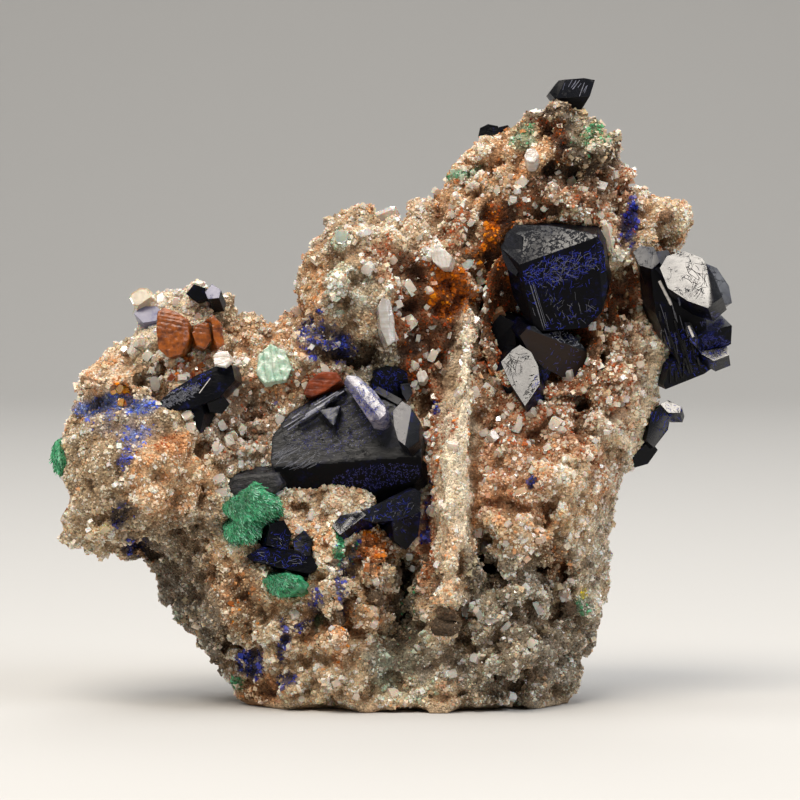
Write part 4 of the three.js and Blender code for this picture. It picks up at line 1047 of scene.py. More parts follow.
def taken() -> Form:
    """Read the active object's mesh, delete the object and give its form."""
    made = bpy.context.object
    mesh = made.data
    loops = np.empty(len(mesh.loops), np.int32)
    mesh.loops.foreach_get("vertex_index", loops)
    counts = np.array([p.loop_total for p in mesh.polygons], np.int32)
    form = Form(corners_of(mesh), loops, counts)
    bpy.data.objects.remove(made)
    bpy.data.meshes.remove(mesh)
    return form


def grab_upper() -> None:
    """Select the active object's upper corners, in edit mode."""
    bpy.ops.object.mode_set(mode="EDIT")
    bpy.ops.mesh.select_mode(type="VERT")
    bpy.ops.mesh.select_all(action="DESELECT")
    bpy.ops.object.mode_set(mode="OBJECT")
    for vertex in bpy.context.object.data.vertices:
        vertex.select = vertex.co.z > 0.1
    bpy.ops.object.mode_set(mode="EDIT")


class GrainForms:
    """Models each form of grain once, about a millimetre wide, its middle on the origin."""

    chips = 5
    crumbs = 6

    def __init__(self) -> None:
        """Model every form."""
        random = default_rng(3)
        self.of: dict[Shape, list[Form]] = {
            Shape.RHOMB: [self.rhomb(lean) for lean in (0.16, 0.3)],
            Shape.CHIP: [self.chip(random) for _ in range(self.chips)],
            Shape.CRUMB: [self.crumb(random) for _ in range(self.crumbs)],
            Shape.GEM: [self.gem(random, long) for long in (0.75, 0.9, 1.1, 1.5)],
        }
        self.needle = self.thread()
        self.sticks = [self.gem(random, 1.0, 0.82, 0.08) for _ in range(4)]
        self.blocks = [self.gem(random, 1.0, rim=0.07) for _ in range(7)]

    def rhomb(self, lean: float) -> Form:
        """Model a leaning block."""
        bpy.ops.mesh.primitive_cube_add(size=1)
        grab_upper()
        bpy.ops.transform.translate(value=(lean, 0.5 * lean, 0))
        bpy.ops.object.mode_set(mode="OBJECT")
        return taken()

    def chip(self, random: Generator) -> Form:
        """Model a broken block with uneven corners."""
        bpy.ops.mesh.primitive_cube_add(size=0.92)
        for vertex in bpy.context.object.data.vertices:
            vertex.co += Vector(random.uniform(-0.22, 0.22, 3))
        return taken()

    def crumb(self, random: Generator) -> Form:
        """Model an uneven crumb."""
        bpy.ops.mesh.primitive_cone_add(vertices=4, radius1=0.6, depth=0.6, end_fill_type="TRIFAN")
        for vertex in bpy.context.object.data.vertices:
            on_axis = vertex.co.xy.length < 0.01
            vertex.co.z = math.copysign(0.58, vertex.co.z) if on_axis else 0
            vertex.co += Vector(random.uniform(-0.14, 0.14, 3))
        return taken()

    def gem(self, random: Generator, long: float, blunt: float = 0.74, rim: float = 0.0) -> Form:
        """Model a block whose corners and edges are cut by small faces.

        Args:
            random: Where the draws come from.
            long: Its length, for a width of 1.
            blunt: How far out the corner cuts lie, for a half width of 0.5.
            rim: Width of the raised rims round its sunk faces.

        Returns:
            The form.
        """
        bpy.ops.mesh.primitive_cube_add(size=1)
        bpy.ops.object.mode_set(mode="EDIT")
        bpy.ops.mesh.select_all(action="SELECT")
        signs = random.permutation([(x, y, z) for x in (-1, 1) for y in (-1, 0, 1) for z in (-1, 1)])
        for sign in signs[:7]:
            out = sign + random.uniform(-0.2, 0.2, 3)
            out /= np.linalg.norm(out)
            reach = (blunt if abs(sign[1]) else blunt - 0.12) * random.uniform(0.86, 1.0)
            bpy.ops.mesh.bisect(plane_co=out * reach, plane_no=out, use_fill=True, clear_outer=True)
            bpy.ops.mesh.select_all(action="SELECT")
        bpy.ops.mesh.remove_doubles(threshold=0.02)
        bpy.ops.mesh.normals_make_consistent(inside=False)
        if rim:
            bpy.ops.mesh.inset(thickness=rim, depth=-0.5 * rim, use_individual=True)
        bpy.ops.transform.resize(value=(1, 1, long))
        bpy.ops.object.mode_set(mode="OBJECT")
        return taken()

    def thread(self) -> Form:
        """Model a thread of unit width, height and length, narrower at its upper side."""
        bpy.ops.mesh.primitive_cube_add(size=1)
        for vertex in bpy.context.object.data.vertices:
            if vertex.co.y > 0:
                vertex.co.x *= 0.5
        return taken()


def unit(vectors: ndarray) -> ndarray:
    """Scale vectors to length 1, one to a row."""
    return vectors / np.linalg.norm(vectors, axis=1, keepdims=True)


def turned_towards(axes: ndarray, spins: ndarray) -> ndarray:
    """Turn copies so that their Z runs along given axes.

    Args:
        axes: Unit directions, one to a row.
        spins: Angle of each copy about its axis.

    Returns:
        A rotation matrix for each.
    """
    helper = np.where(np.abs(axes[:, 2:3]) < 0.9, [[0.0, 0.0, 1.0]], [[1.0, 0.0, 0.0]])
    u = unit(np.cross(helper, axes))
    v = np.cross(axes, u)
    c, s = np.cos(spins)[:, None], np.sin(spins)[:, None]
    return np.stack([u * c + v * s, v * c - u * s, axes], axis=2)


def laid_along(axes: ndarray, normals: ndarray) -> ndarray:
    """Turn copies so that their Z runs along given unit axes and their Y leaves the surface."""
    across = unit(np.cross(normals, axes))
    return np.stack([across, np.cross(axes, across), axes], axis=2)


@dataclass
class Copies:
    """Copies of one form."""

    form: Form
    places: ndarray  # where each stands
    turns: ndarray  # how each is turned, as a matrix
    sizes: ndarray  # its size along each of its own axes
    tones: ndarray  # its colour at its upper end
    foots: ndarray  # its colour at its lower end


def joined(name: str, groups: Sequence[Copies]) -> Object:
    """Make one mesh of many copies.

    Args:
        name: The object's name.
        groups: The copies, by form.

    Returns:
        The object, flat shaded, with its colours kept.
    """
    corners, loops, counts, tones = [], [], [], []
    offset = 0
    for group in groups:
        stretched = group.form.corners[None] * group.sizes[:, None, :]
        set_up = np.einsum("nij,nvj->nvi", group.turns, stretched) + group.places[:, None, :]
        total, each = set_up.shape[:2]
        starts = offset + each * np.arange(total)
        height = group.form.corners[:, 2]
        rise = ((height - height.min()) / np.ptp(height))[None, :, None]
        corners.append(set_up.reshape(-1, 3))
        loops.append((group.form.loops[None] + starts[:, None]).ravel())
        counts.append(np.tile(group.form.counts, total))
        tones.append((group.foots[:, None] * (1 - rise) + group.tones[:, None] * rise).reshape(-1, 3))
        offset += total * each
    corners, loops, counts, tones = map(np.concatenate, (corners, loops, counts, tones))
    mesh = bpy.data.meshes.new(name)
    mesh.vertices.add(len(corners))
    mesh.vertices.foreach_set("co", corners.astype(np.float32).ravel())
    mesh.loops.add(len(loops))
    mesh.loops.foreach_set("vertex_index", loops.astype(np.int32))
    mesh.polygons.add(len(counts))
    mesh.polygons.foreach_set("loop_start", (np.cumsum(counts) - counts).astype(np.int32))
    mesh.update(calc_edges=True)
    mesh.shade_flat()
    set_tones(mesh, tones)
    made = bpy.data.objects.new(name, mesh)
    bpy.context.scene.collection.objects.link(made)
    return made


def tree_of(pieces: Iterable[Object]) -> BVHTree:
    """Gather some objects' triangles for rays and nearest points."""
    corners: list[ndarray] = []
    faces: list[ndarray] = []
    offset = 0
    for piece in pieces:
        corners.append(corners_of(piece.data))
        faces.append(triangles_of(piece.data) + offset)
        offset += len(piece.data.vertices)
    return BVHTree.FromPolygons(np.concatenate(corners).tolist(), np.concatenate(faces).tolist())


class CrystalRoom:
    """The space that the large crystals take, which grains and bulges keep clear of."""

    reach_mm = 1.6  # how near the rock has to come to be drawn onto a crystal
    gaps_mm = (0.0, 0.55, 1.6)  # gaps that are found, and below what they become
    wanted_mm = (-0.12, -0.06, 1.6)

    def __init__(self, nodes: Sequence[str]) -> None:
        """Gather the triangles of the crystals' solids."""
        self.tree = tree_of(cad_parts[node] for node in nodes)

    def distances(self, points: ndarray) -> ndarray:
        """Give each point's distance from the nearest crystal."""
        return np.array([self.tree.find_nearest(p)[3] for p in points.tolist()])

    def hugged(self, points: ndarray) -> ndarray:
        """Draw points that all but touch a crystal onto it, so that no gap shows.

        Args:
            points: Places on the rock.

        Returns:
            Their new places.
        """
        moved = points.copy()
        for i, point in enumerate(points.tolist()):
            near, normal, _, distance = self.tree.find_nearest(point, self.reach_mm * MM)
            if near is None or distance < 1e-7:
                continue
            away = (Vector(point) - near) / distance
            if away.dot(normal) > 0:
                moved[i] = near + away * float(np.interp(distance / MM, self.gaps_mm, self.wanted_mm)) * MM
        return moved


# The rock


@dataclass(frozen=True)
class Relief:
    """A layer of bulges or pits."""

    kind: str  # Blender's name for the pattern
    size_mm: float  # its scale
    height_mm: float  # how far it raises the surface, or lowers it where it is below 0
    level: float = 0.5  # the pattern's value that leaves the surface where it is
    contrast: float = 1.0  # how steep its slopes are
    brightness: float = 1.0  # how much of it is high

    def raise_on(self, made: Object, name: str, group: str = "") -> None:
        """Raise the layer on an object.

        Args:
            made: The object.
            name: The pattern's name.
            group: The vertex group that holds it back.
        """
        texture = bpy.data.textures.new(name, self.kind)
        texture.noise_scale = self.size_mm * MM
        texture.contrast, texture.intensity = self.contrast, self.brightness
        apply_modifier(
            made, "DISPLACE", texture=texture, texture_coords="LOCAL",
            strength=self.height_mm * MM, mid_level=self.level, vertex_group=group,
        )


@dataclass
class Skin:
    """The rock's own surface: the solid's form, worked at listed places and roughened."""

    node: str  # the solid that it stands for
    name: str
    slot: str  # the record's finish
    room: CrystalRoom  # where the crystals are
    voxel_mm: float = 0.56  # size of its mesh
    melt: int = 6  # how often it is smoothed
    strokes: Sequence[Stroke] = tuple(STROKES.values())  # places that are pressed in or drawn out
    # the layers of bulges
    reliefs: Sequence[Relief] = (
        Relief("CLOUDS", 7.0, 2.0),
        Relief("VORONOI", 3.4, -1.3, 0.4),
        Relief("CLOUDS", 3.2, -1.6, 0.0, 4.5, 0.42),
        Relief("CLOUDS", 1.3, 0.7),
    )
    sunk_mm: float = 0.85  # how far it lies inside the solid before its bulges rise
    clear_mm: float = 2.6  # how far from the crystals the bulges reach their full height
    back_calm: float = 0.5  # how much of its relief the side away from the viewer loses
    # column, row, half width, half height, turn and loss of relief of the smoother places
    calms: Sequence[tuple[float, ...]] = (
        (455, 475, 24, 120, 1, 0.66),
        (466, 335, 12, 40, 2, 0.3),
        (128, 475, 76, 86, 0, 0.5),
        (346, 268, 50, 60, 0, 0.3),
        (540, 500, 66, 70, 0, 0.35),
        (400, 665, 90, 36, 0, 0.55),
        (190, 600, 34, 70, -32, 0.4),
        (606, 540, 26, 90, 8, 0.6),
        (648, 366, 24, 44, 10, 0.35),
        (672, 216, 26, 26, 0, 0.4),
        (105, 372, 34, 18, 0, 0.3),
    )
    levels: int = 20  # in how many steps the relief fades out
    made: Object | None = None  # the piece, once it is built
    rise: ndarray | None = None  # how far each of its vertices stands over its surroundings, once it is built

    def build(self, material: Material) -> None:
        """Model the surface and dress it.

        Args:
            material: Its finish.
        """
        made = self.made = copy_of(self.node, self.name)
        apply_modifier(made, "REMESH", mode="VOXEL", voxel_size=self.voxel_mm * MM)
        self.work_by_hand()
        self.sink()
        apply_modifier(made, "REMESH", mode="VOXEL", voxel_size=self.voxel_mm * MM)
        apply_modifier(made, "SMOOTH", factor=0.5, iterations=self.melt)
        self.roughen()
        points = self.room.hugged(corners_of(made.data))
        points[:, 2] = np.maximum(points[:, 2], 0)
        set_corners(made, points)
        made.data.shade_smooth()
        pulls = GROUND.clustered(points, GROUND.shares(points, normals_of(made.data)))
        self.rise = rises_of(made.data)
        # Iron stain and painted shade in the pits, painted light on the high places
        set_tones(made.data, GROUND.stained_and_shaded(GROUND.tones(pulls), self.rise))
        place(made, material, self.slot, self.node)

    def freedom(self, points: ndarray) -> ndarray:
        """Say how far the surface may move: 0 at the crystals and on the foot, 1 well away from both."""
        free = step_between(0.3, self.clear_mm, self.room.distances(points) / MM)
        return free * step_between(0.0, 2.5, points[:, 2] / MM)

    def work_by_hand(self) -> None:
        """Press in and draw out the places that the strokes name."""
        points = corners_of(self.made.data)
        pixels = SIGHT.pixels(points)
        push = sum((stroke.push(pixels) for stroke in self.strokes), np.zeros(len(points)))
        push *= step_between(0.1, -0.3, normals_of(self.made.data)[:, 1]) * self.freedom(points)
        set_corners(self.made, points - np.outer(push * MM, SIGHT.forward))

    def sink(self) -> None:
        """Draw the surface in, away from the crystals and above the foot."""
        points = corners_of(self.made.data)
        depth = self.sunk_mm * MM * self.freedom(points)
        set_corners(self.made, points - normals_of(self.made.data) * depth[:, None])

    def roughen(self) -> None:
        """Raise the bulges and sink the pits, less where the surface is calm."""
        group = self.made.vertex_groups.new(name="free")
        points = corners_of(self.made.data)
        kept = self.freedom(points)
        calmed = np.ones(len(points))
        for *place_px, calm in self.calms:
            calmed *= 1 - calm * step_between(1.2, 0.75, oval(SIGHT.pixels(points), *place_px))
        behind = 1 - self.back_calm * step_between(-0.2, 0.5, normals_of(self.made.data)[:, 1])
        level_of = np.round(kept * calmed * behind * self.levels)
        for level in range(1, self.levels + 1):
            found = np.nonzero(level_of == level)[0]
            if len(found):
                group.add(found.tolist(), level / self.levels, "REPLACE")
        for i, relief in enumerate(self.reliefs):
            relief.raise_on(self.made, f"{self.name}_relief_{i}", "free")


class Part(Enum):
    """The parts that a large crust is made in."""

    WEST = "west"
    EAST = "east"
    BACK = "back"


@dataclass
class Sites:
    """Places on the rock, with their outward directions, minerals, ground colours and rises."""

    points: ndarray
    normals: ndarray
    minerals: ndarray
    grounds: ndarray
    rises: ndarray

    def only(self, kept: ndarray) -> "Sites":
        """Keep some of the places."""
        parts = (self.points, self.normals, self.minerals, self.grounds, self.rises)
        return Sites(*(part[kept] for part in parts))


# Small rhombs pass some light and glitter; sand is duller, iron oxide matt; clear crystals give bright points
CRUST_FINISHES = {
    Crust.DRUSE: CrystalCrust("dolomite_crystals", 0.3, 1.68, glow=0.3, clear=0.14, specular=0.5),
    Crust.SAND: CrystalCrust("dolomite_sand", 0.45, 1.6, glow=0.15, specular=0.35),
    Crust.IRON: CrystalCrust("limonite_crumbs", 0.7, 1.6, specular=0.12),
    Crust.SPECKS: CrystalCrust("azurite_grains", 0.35, 1.75, specular=0.35),
    Crust.GREEN: CrystalCrust("malachite_grains", 0.5, 1.7, specular=0.3),
    Crust.CLEAR: CrystalCrust("small_cerussite", 0.1, 1.9, glow=0.3, clear=0.35, mottle=0.1),
}
SPLIT_CRUSTS = (Crust.DRUSE, Crust.SAND, Crust.IRON)


@dataclass
class Druse:
    """The grains that cover the rock, joined by kind of crust."""

    surfaces: Sequence[Skin]  # what they grow on
    room: CrystalRoom  # where the large crystals are
    forms: GrainForms  # forms of the grains
    tries: int = 340_000  # how many places are thrown on the rock
    seed: int = 20  # for the draws
    back_thin: float = 0.3  # share of grains kept where the viewer doesn't look
    back_large: float = 1.5  # how much larger they are there
    keep_off_mm: float = 0.1  # distance kept from the large crystals
    collar: float = 0.7  # how much denser they stand round those
    lean: float = 0.33  # how far a grain leans from the rock's outward direction
    rare_large: float = 3.6  # how much rarer a large grain is than a small one
    patch_mm: float = 1.1  # size of the patches of paler and darker grains
    behind_from: float = 0.05  # how far a face is turned away to count as the back

    def sites(self, random: Generator) -> Sites:
        """Throw places evenly on the rock and keep those that carry a grain.

        Args:
            random: Where the draws come from.

        Returns:
            The places.
        """
        corners, rises = [], []
        for surface in self.surfaces:
            triangles = triangles_of(surface.made.data)
            corners.append(corners_of(surface.made.data)[triangles])
            rises.append(surface.rise[triangles])
        corner, rise = np.concatenate(corners), np.concatenate(rises)
        edge_1, edge_2 = corner[:, 1] - corner[:, 0], corner[:, 2] - corner[:, 0]
        normals = np.cross(edge_1, edge_2)
        areas = np.linalg.norm(normals, axis=1) / 2
        picked = random.choice(len(areas), self.tries, p=areas / areas.sum())
        u, v = random.random((2, self.tries, 1))
        u, v = np.where(u + v > 1, 1 - u, u), np.where(u + v > 1, 1 - v, v)
        points = corner[picked, 0] + u * edge_1[picked] + v * edge_2[picked]
        high = (rise[picked] * np.column_stack([1 - u - v, u, v])).sum(axis=1)
        outward = normals[picked] / (2 * areas[picked, None])
        pulls = GROUND.clustered(points, GROUND.shares(points, outward))
        minerals = np.argmax(pulls + random.gumbel(size=pulls.shape), axis=1)
        found = Sites(points, outward, minerals, GROUND.tones(pulls), high)
        gaps = self.room.distances(points) / MM
        density = np.array([mineral.value.per_mm2 for mineral in MINERALS])[minerals]
        density *= 1 + self.collar * step_between(1.6, 0.4, gaps)
        density *= 0.45 + 0.55 * step_between(-0.6, -0.1, high)
        tried = self.tries / (areas.sum() / MM**2)
        seen = step_between(0.25, -0.2, outward[:, 1])
        keep = density / tried * (self.back_thin + (1 - self.back_thin) * seen)
        kept = (random.random(self.tries) < keep) & (gaps > self.keep_off_mm)
        kept &= points[:, 2] > (0.4 + 0.8 * density / density.max()) * MM
        LOG.info("rock area %.0f mm2, %d grains", areas.sum() / MM**2, kept.sum())
        return found.only(kept)

    def build(self) -> None:
        """Make and dress the crusts."""
        random = default_rng(self.seed)
        sites = self.sites(random)
        looks = {crust: finish.make() for crust, finish in CRUST_FINISHES.items()}
        east = SIGHT.pixels(sites.points)[:, 0] > SIGHT.picture / 2
        back = sites.normals[:, 1] > self.behind_from
        part_of = np.where(back, 2, east.astype(int))
        for crust in Crust:
            name, slot = crust.value
            for number, part in enumerate(Part if crust in SPLIT_CRUSTS else [None]):
                own = sites.only(part_of == number) if part else sites
                made = joined(f"{name}_{part.value}" if part else name, self.groups(crust, own, random))
                place(made, looks[crust], slot)

    def groups(self, crust: Crust, sites: Sites, random: Generator) -> list[Copies]:
        """Set up one crust's grains.

        Args:
            crust: Which crust.
            sites: The places that it may take.
            random: Where the draws come from.

        Returns:
            The grains, by mineral and form.
        """
        groups = []
        for number, mineral in enumerate(MINERALS):
            grit = mineral.value
            if grit.crust is not crust:
                continue
            own = sites.only(sites.minerals == number)
            forms = [form for shape in grit.shapes for form in self.forms.of[shape]]
            form_of = random.integers(0, len(forms), len(own.points))
            for i, form in enumerate(forms):
                if np.any(form_of == i):
                    groups.append(self.copies(form, grit, own.only(form_of == i), random))
        return groups

    def copies(self, form: Form, grit: Grit, sites: Sites, random: Generator) -> Copies:
        """Set up the grains of one form and mineral.

        Args:
            form: Their form.
            grit: Their looks.
            sites: Where they stand.
            random: Where the draws come from.

        Returns:
            The grains.
        """
        total = len(sites.points)
        axes = unit(sites.normals + self.lean * random.normal(size=(total, 3)))
        low, high = grit.size_mm
        large = 1 + (self.back_large - 1) * step_between(-0.1, 0.3, sites.normals[:, 1])
        size = MM * (low + (high - low) * random.random(total) ** self.rare_large) * large
        size *= 0.78 + 0.44 * step_between(-0.3, 0.4, sites.rises)
        sizes = size[:, None] * random.uniform(0.75, 1.25, (total, 3))
        palette = np.array([linear(code) for code in grit.tones])
        patch = layered_noise(sites.points, self.patch_mm, 77, 2)
        number = np.clip(random.normal(0, 0.15, total) + 0.5 + 0.8 * patch, 0, 0.999)
        order = np.argsort(palette.sum(axis=1))
        tones = palette[order][(number * len(palette)).astype(int)]
        tones = (0.8 * tones + 0.2 * sites.grounds) * random.uniform(0.9, 1.12, (total, 1))
        # The grains take the same iron stain and painted shade low down and painted light high up, and their
        # feet take the ground's
        tones = GROUND.stained_and_shaded(tones, sites.rises)
        foots = 0.5 * tones + 0.4 * GROUND.stained_and_shaded(sites.grounds, sites.rises)
        points = sites.points + sites.normals * (size * random.uniform(-0.25, 0.2, total))[:, None]
        points[:, 2] = np.maximum(points[:, 2], sizes.max(axis=1) * 0.95)
        turns = turned_towards(axes, random.random(total) * math.tau)
        return Copies(form, points, turns, sizes, tones, foots)


# Larger clear crystals on the rock


@dataclass(frozen=True)
class Gem:
    """A pale crystal that is large enough to be seen on its own."""

    column: float  # its middle, in pixels from the picture's left
    row: float  # its middle, in pixels from the picture's top
    long: float
    wide: float
    lean: float = 0.0  # degrees that it leans to the right of upright
    tone: str = "#f9ecda"


GEMS = (
    Gem(556, 424, 14, 13, 30), Gem(518, 424, 20, 9, 18), Gem(484, 433, 11, 8, 60), Gem(475, 392, 13, 9, -20),
    Gem(531, 443, 8, 7), Gem(575, 403, 8, 7, 30), Gem(478, 531, 14, 13, 10, "#ead9cc"),
    Gem(432, 511, 12, 11, 20), Gem(425, 478, 10, 8, -30), Gem(414, 567, 12, 9, 40), Gem(410, 556, 9, 8),
    Gem(521, 492, 14, 8, 70, "#ecc8a4"), Gem(188, 416, 12, 9, 60), Gem(191, 426, 11, 9, 80),
    Gem(208, 432, 11, 9, 20), Gem(222, 425, 12, 9, -30), Gem(232, 436, 11, 10, 50), Gem(216, 446, 10, 8),
    Gem(242, 428, 9, 8, 30), Gem(219, 480, 14, 10, 70, "#dccfc2"), Gem(222, 492, 14, 10, 80, "#d8cbbd"),
    Gem(104, 529, 11, 8, 40, "#ecd9a8"), Gem(609, 237, 32, 8, -4), Gem(469, 262, 12, 10, 30),
    Gem(480, 280, 11, 9, -20), Gem(496, 315, 20, 11, 60, "#8c6c52"), Gem(438, 249, 13, 10, 25),
    Gem(448, 260, 15, 10, -25), Gem(467, 264, 15, 11, 40), Gem(410, 288, 19, 10, -35),
    Gem(385, 316, 30, 12, -8), Gem(392, 332, 22, 10, -14), Gem(408, 323, 20, 13, 50),
    Gem(433, 356, 15, 9, 25), Gem(422, 377, 11, 10, 20, "#fbf6f2"), Gem(449, 335, 8, 4, 10),
    Gem(414, 365, 9, 9, 30), Gem(418, 338, 9, 5, 10), Gem(343, 238, 16, 14, 8, "#ccd6c8"),
    Gem(384, 217, 34, 16, 62, "#e6e2dc"), Gem(539, 607, 17, 8, -24, "#f8f4f0"),
    Gem(466, 608, 25, 9, 0, "#a49c92"), Gem(532, 643, 12, 10, 40), Gem(493, 620, 17, 8, 60, "#cfc6ba"),
    Gem(505, 626, 14, 7, 40, "#cbc2b6"), Gem(481, 616, 15, 8, -30, "#c4bbae"),
    Gem(565, 592, 12, 11, 20, "#d8c2b0"), Gem(500, 546, 6, 5), Gem(531, 155, 12, 12, 10),
    Gem(522, 181, 13, 11, 40), Gem(571, 181, 12, 10, 60), Gem(498, 190, 9, 8, 30), Gem(512, 200, 10, 8, -20),
    Gem(545, 208, 9, 7, 50), Gem(584, 190, 9, 8, 20), Gem(600, 215, 10, 8, 70), Gem(470, 222, 9, 7, 30),
    Gem(452, 214, 9, 7, -40), Gem(613, 330, 9, 7, 30), Gem(625, 344, 8, 6, -20), Gem(590, 362, 9, 7, 40),
    Gem(610, 400, 9, 7, 10), Gem(548, 448, 9, 7, 60), Gem(500, 452, 10, 8, -40), Gem(488, 470, 9, 7, 20),
    Gem(532, 470, 8, 7, 30), Gem(560, 480, 8, 6, -10), Gem(300, 530, 10, 8, 40, "#e8e0d8"),
    Gem(312, 516, 10, 9, 10, "#f0e6dc"), Gem(262, 366, 14, 10, -30, "#d4e2d0"),
    Gem(270, 378, 14, 11, 40, "#c4dcc8"), Gem(292, 372, 10, 8, 20, "#e8ece0"),
    Gem(143, 299, 24, 20, 62, "#e6d8ba"), Gem(159, 302, 20, 15, -30, "#ece0c8"),
    Gem(134, 332, 15, 13, 10, "#efe4cc"), Gem(147, 356, 12, 10, 40, "#f2ead8"), Gem(176, 302, 10, 8, 10),
    Gem(198, 316, 9, 8, 50), Gem(210, 330, 10, 8, -20), Gem(217, 344, 9, 8, 30), Gem(206, 302, 8, 7, 30),
    Gem(228, 372, 8, 7, 60), Gem(236, 392, 9, 7, 10), Gem(152, 370, 8, 7, 10),
    Gem(148, 326, 13, 12, 10, "#f0e8d8"), Gem(142, 342, 12, 11, 50, "#eee2cc"),
    Gem(189, 348, 9, 8, 30, "#b45a12"), Gem(181, 366, 9, 7, 10, "#a44c10"),
    Gem(201, 366, 9, 6, 60, "#c06814"), Gem(120, 389, 11, 8, 30, "#ffb010"),
    Gem(126, 391, 8, 6, 80, "#ffa60c"), Gem(121, 402, 9, 7, 10, "#ffb018"),
    Gem(114, 392, 7, 5, 60, "#ffb420"), Gem(192, 376, 8, 6, -20, "#9a4410"),
    Gem(172, 378, 9, 7, 40, "#8a3c10"), Gem(208, 356, 7, 6, 10, "#c26c1c"),
)


@dataclass
class GemField:
    """The larger pale crystals, each seated on the rock where it is seen."""

    surfaces: Sequence[Skin]  # what they stand on
    forms: GrainForms  # has their forms
    seed: int = 8  # for the draws
    stick_from: float = 1.6  # length for a width of 1 from which one is a stick
    lift: float = 0.55  # how far they lean out of the rock
    scale: float = 0.84  # their size against the one that is read
    tumble: float = 0.5  # how far they turn by chance

    def build(self) -> None:
        """Model and dress them."""
        rock = tree_of([surface.made for surface in self.surfaces])
        random = default_rng(self.seed)
        groups = []
        for gem in GEMS:
            hit, normal, _, _ = rock.ray_cast(*SIGHT.ray(gem.column, gem.row))
            if hit is None:
                LOG.warning("no rock behind the crystal at %d, %d", gem.column, gem.row)
                continue
            groups.append(self.seated(gem, np.array(hit), np.array(normal), random))
        made = joined("large_cerussite", groups)
        milky = CrystalCrust("milky_cerussite", 0.1, 1.9, 0.55, 0.2, 0.5, 0.1, 0.6)
        place(made, milky.make(), "clear_cerussite")

    def seated(self, gem: Gem, hit: ndarray, normal: ndarray, random: Generator) -> Copies:
        """Set one crystal on the rock.

        Args:
            gem: The crystal.
            hit: The place on the rock.
            normal: The rock's outward direction.
            random: Where the draws come from.

        Returns:
            The crystal.
        """
        lean = math.radians(gem.lean)
        along = SIGHT.upward * math.cos(lean) + np.array([math.sin(lean), 0, 0])
        facing = unit((0.6 * normal - SIGHT.forward + self.tumble * random.normal(size=3))[None])[0]
        long, wide = (self.scale * value * SIGHT.mm_per_pixel * MM for value in (gem.long, gem.wide))
        is_stick = gem.long > self.stick_from * gem.wide
        forms = self.forms.sticks if is_stick else self.forms.blocks
        form = forms[random.integers(len(forms))]
        axis = unit((along + facing * self.lift * random.uniform(0, 0.6))[None])
        size = np.array([[wide, wide * random.uniform(0.7, 1.0), long]])
        seat = hit + facing * wide * random.uniform(-0.05, 0.16)
        tone = np.array([linear(gem.tone)])
        return Copies(form, seat[None], laid_along(axis, facing[None]), size, tone, tone * 0.75)


# Large crystals


@dataclass(frozen=True)
class Wear:
    """How a crystal's surface is worn and striped by its growth."""

    step_mm: float  # distance between its growth steps
    deep_mm: float  # depth of the steps
    pit_mm: float  # size of its pits and bumps
    rough_mm: float  # height of those
    # direction in which the steps follow each other, in the viewer's right and up
    lean: tuple[float, float] = (0.1, 1.0)
    steps_from: float = 0.0  # height in the crystal, from 0 to 1, from which the steps show
    mesh_mm: float = 0.16  # size of the crystal's mesh

    def apply(self, made: Object) -> None:
        """Carve the steps and the wear.

        Args:
            made: The crystal, finely meshed.
        """
        points, normals = corners_of(made.data), normals_of(made.data)
        along = (points[:, 0] * self.lean[0] + points[:, 2] * self.lean[1]) / MM
        bent = along + 0.5 * layered_noise(points, 3.0, 12, 2)
        saw = (bent / self.step_mm + 0.6 * np.sin(bent / self.step_mm * 0.7)) % 1.0
        height = (points[:, 2] - points[:, 2].min()) / np.ptp(points[:, 2])
        shown = step_between(self.steps_from - 0.1, self.steps_from + 0.1, height)
        shown *= step_between(-0.5, 0.2, layered_noise(points, 2.5, 15, 2))
        push = -self.deep_mm * shown * step_between(0.55, 1.0, saw)
        push += self.rough_mm * layered_noise(points, self.pit_mm, 14, 3)
        set_corners(made, points + normals * push[:, None] * MM)


@dataclass(frozen=True)
class CrystalFinish:
    """How a group of the large crystals is finished."""

    slot: str  # the record's finish
    look: AzuriteFace | Cerussite  # the material's maker
    bevel_mm: float  # width of the worn edges
    wear: Wear | None = None  # how its surface is worn, if it shows


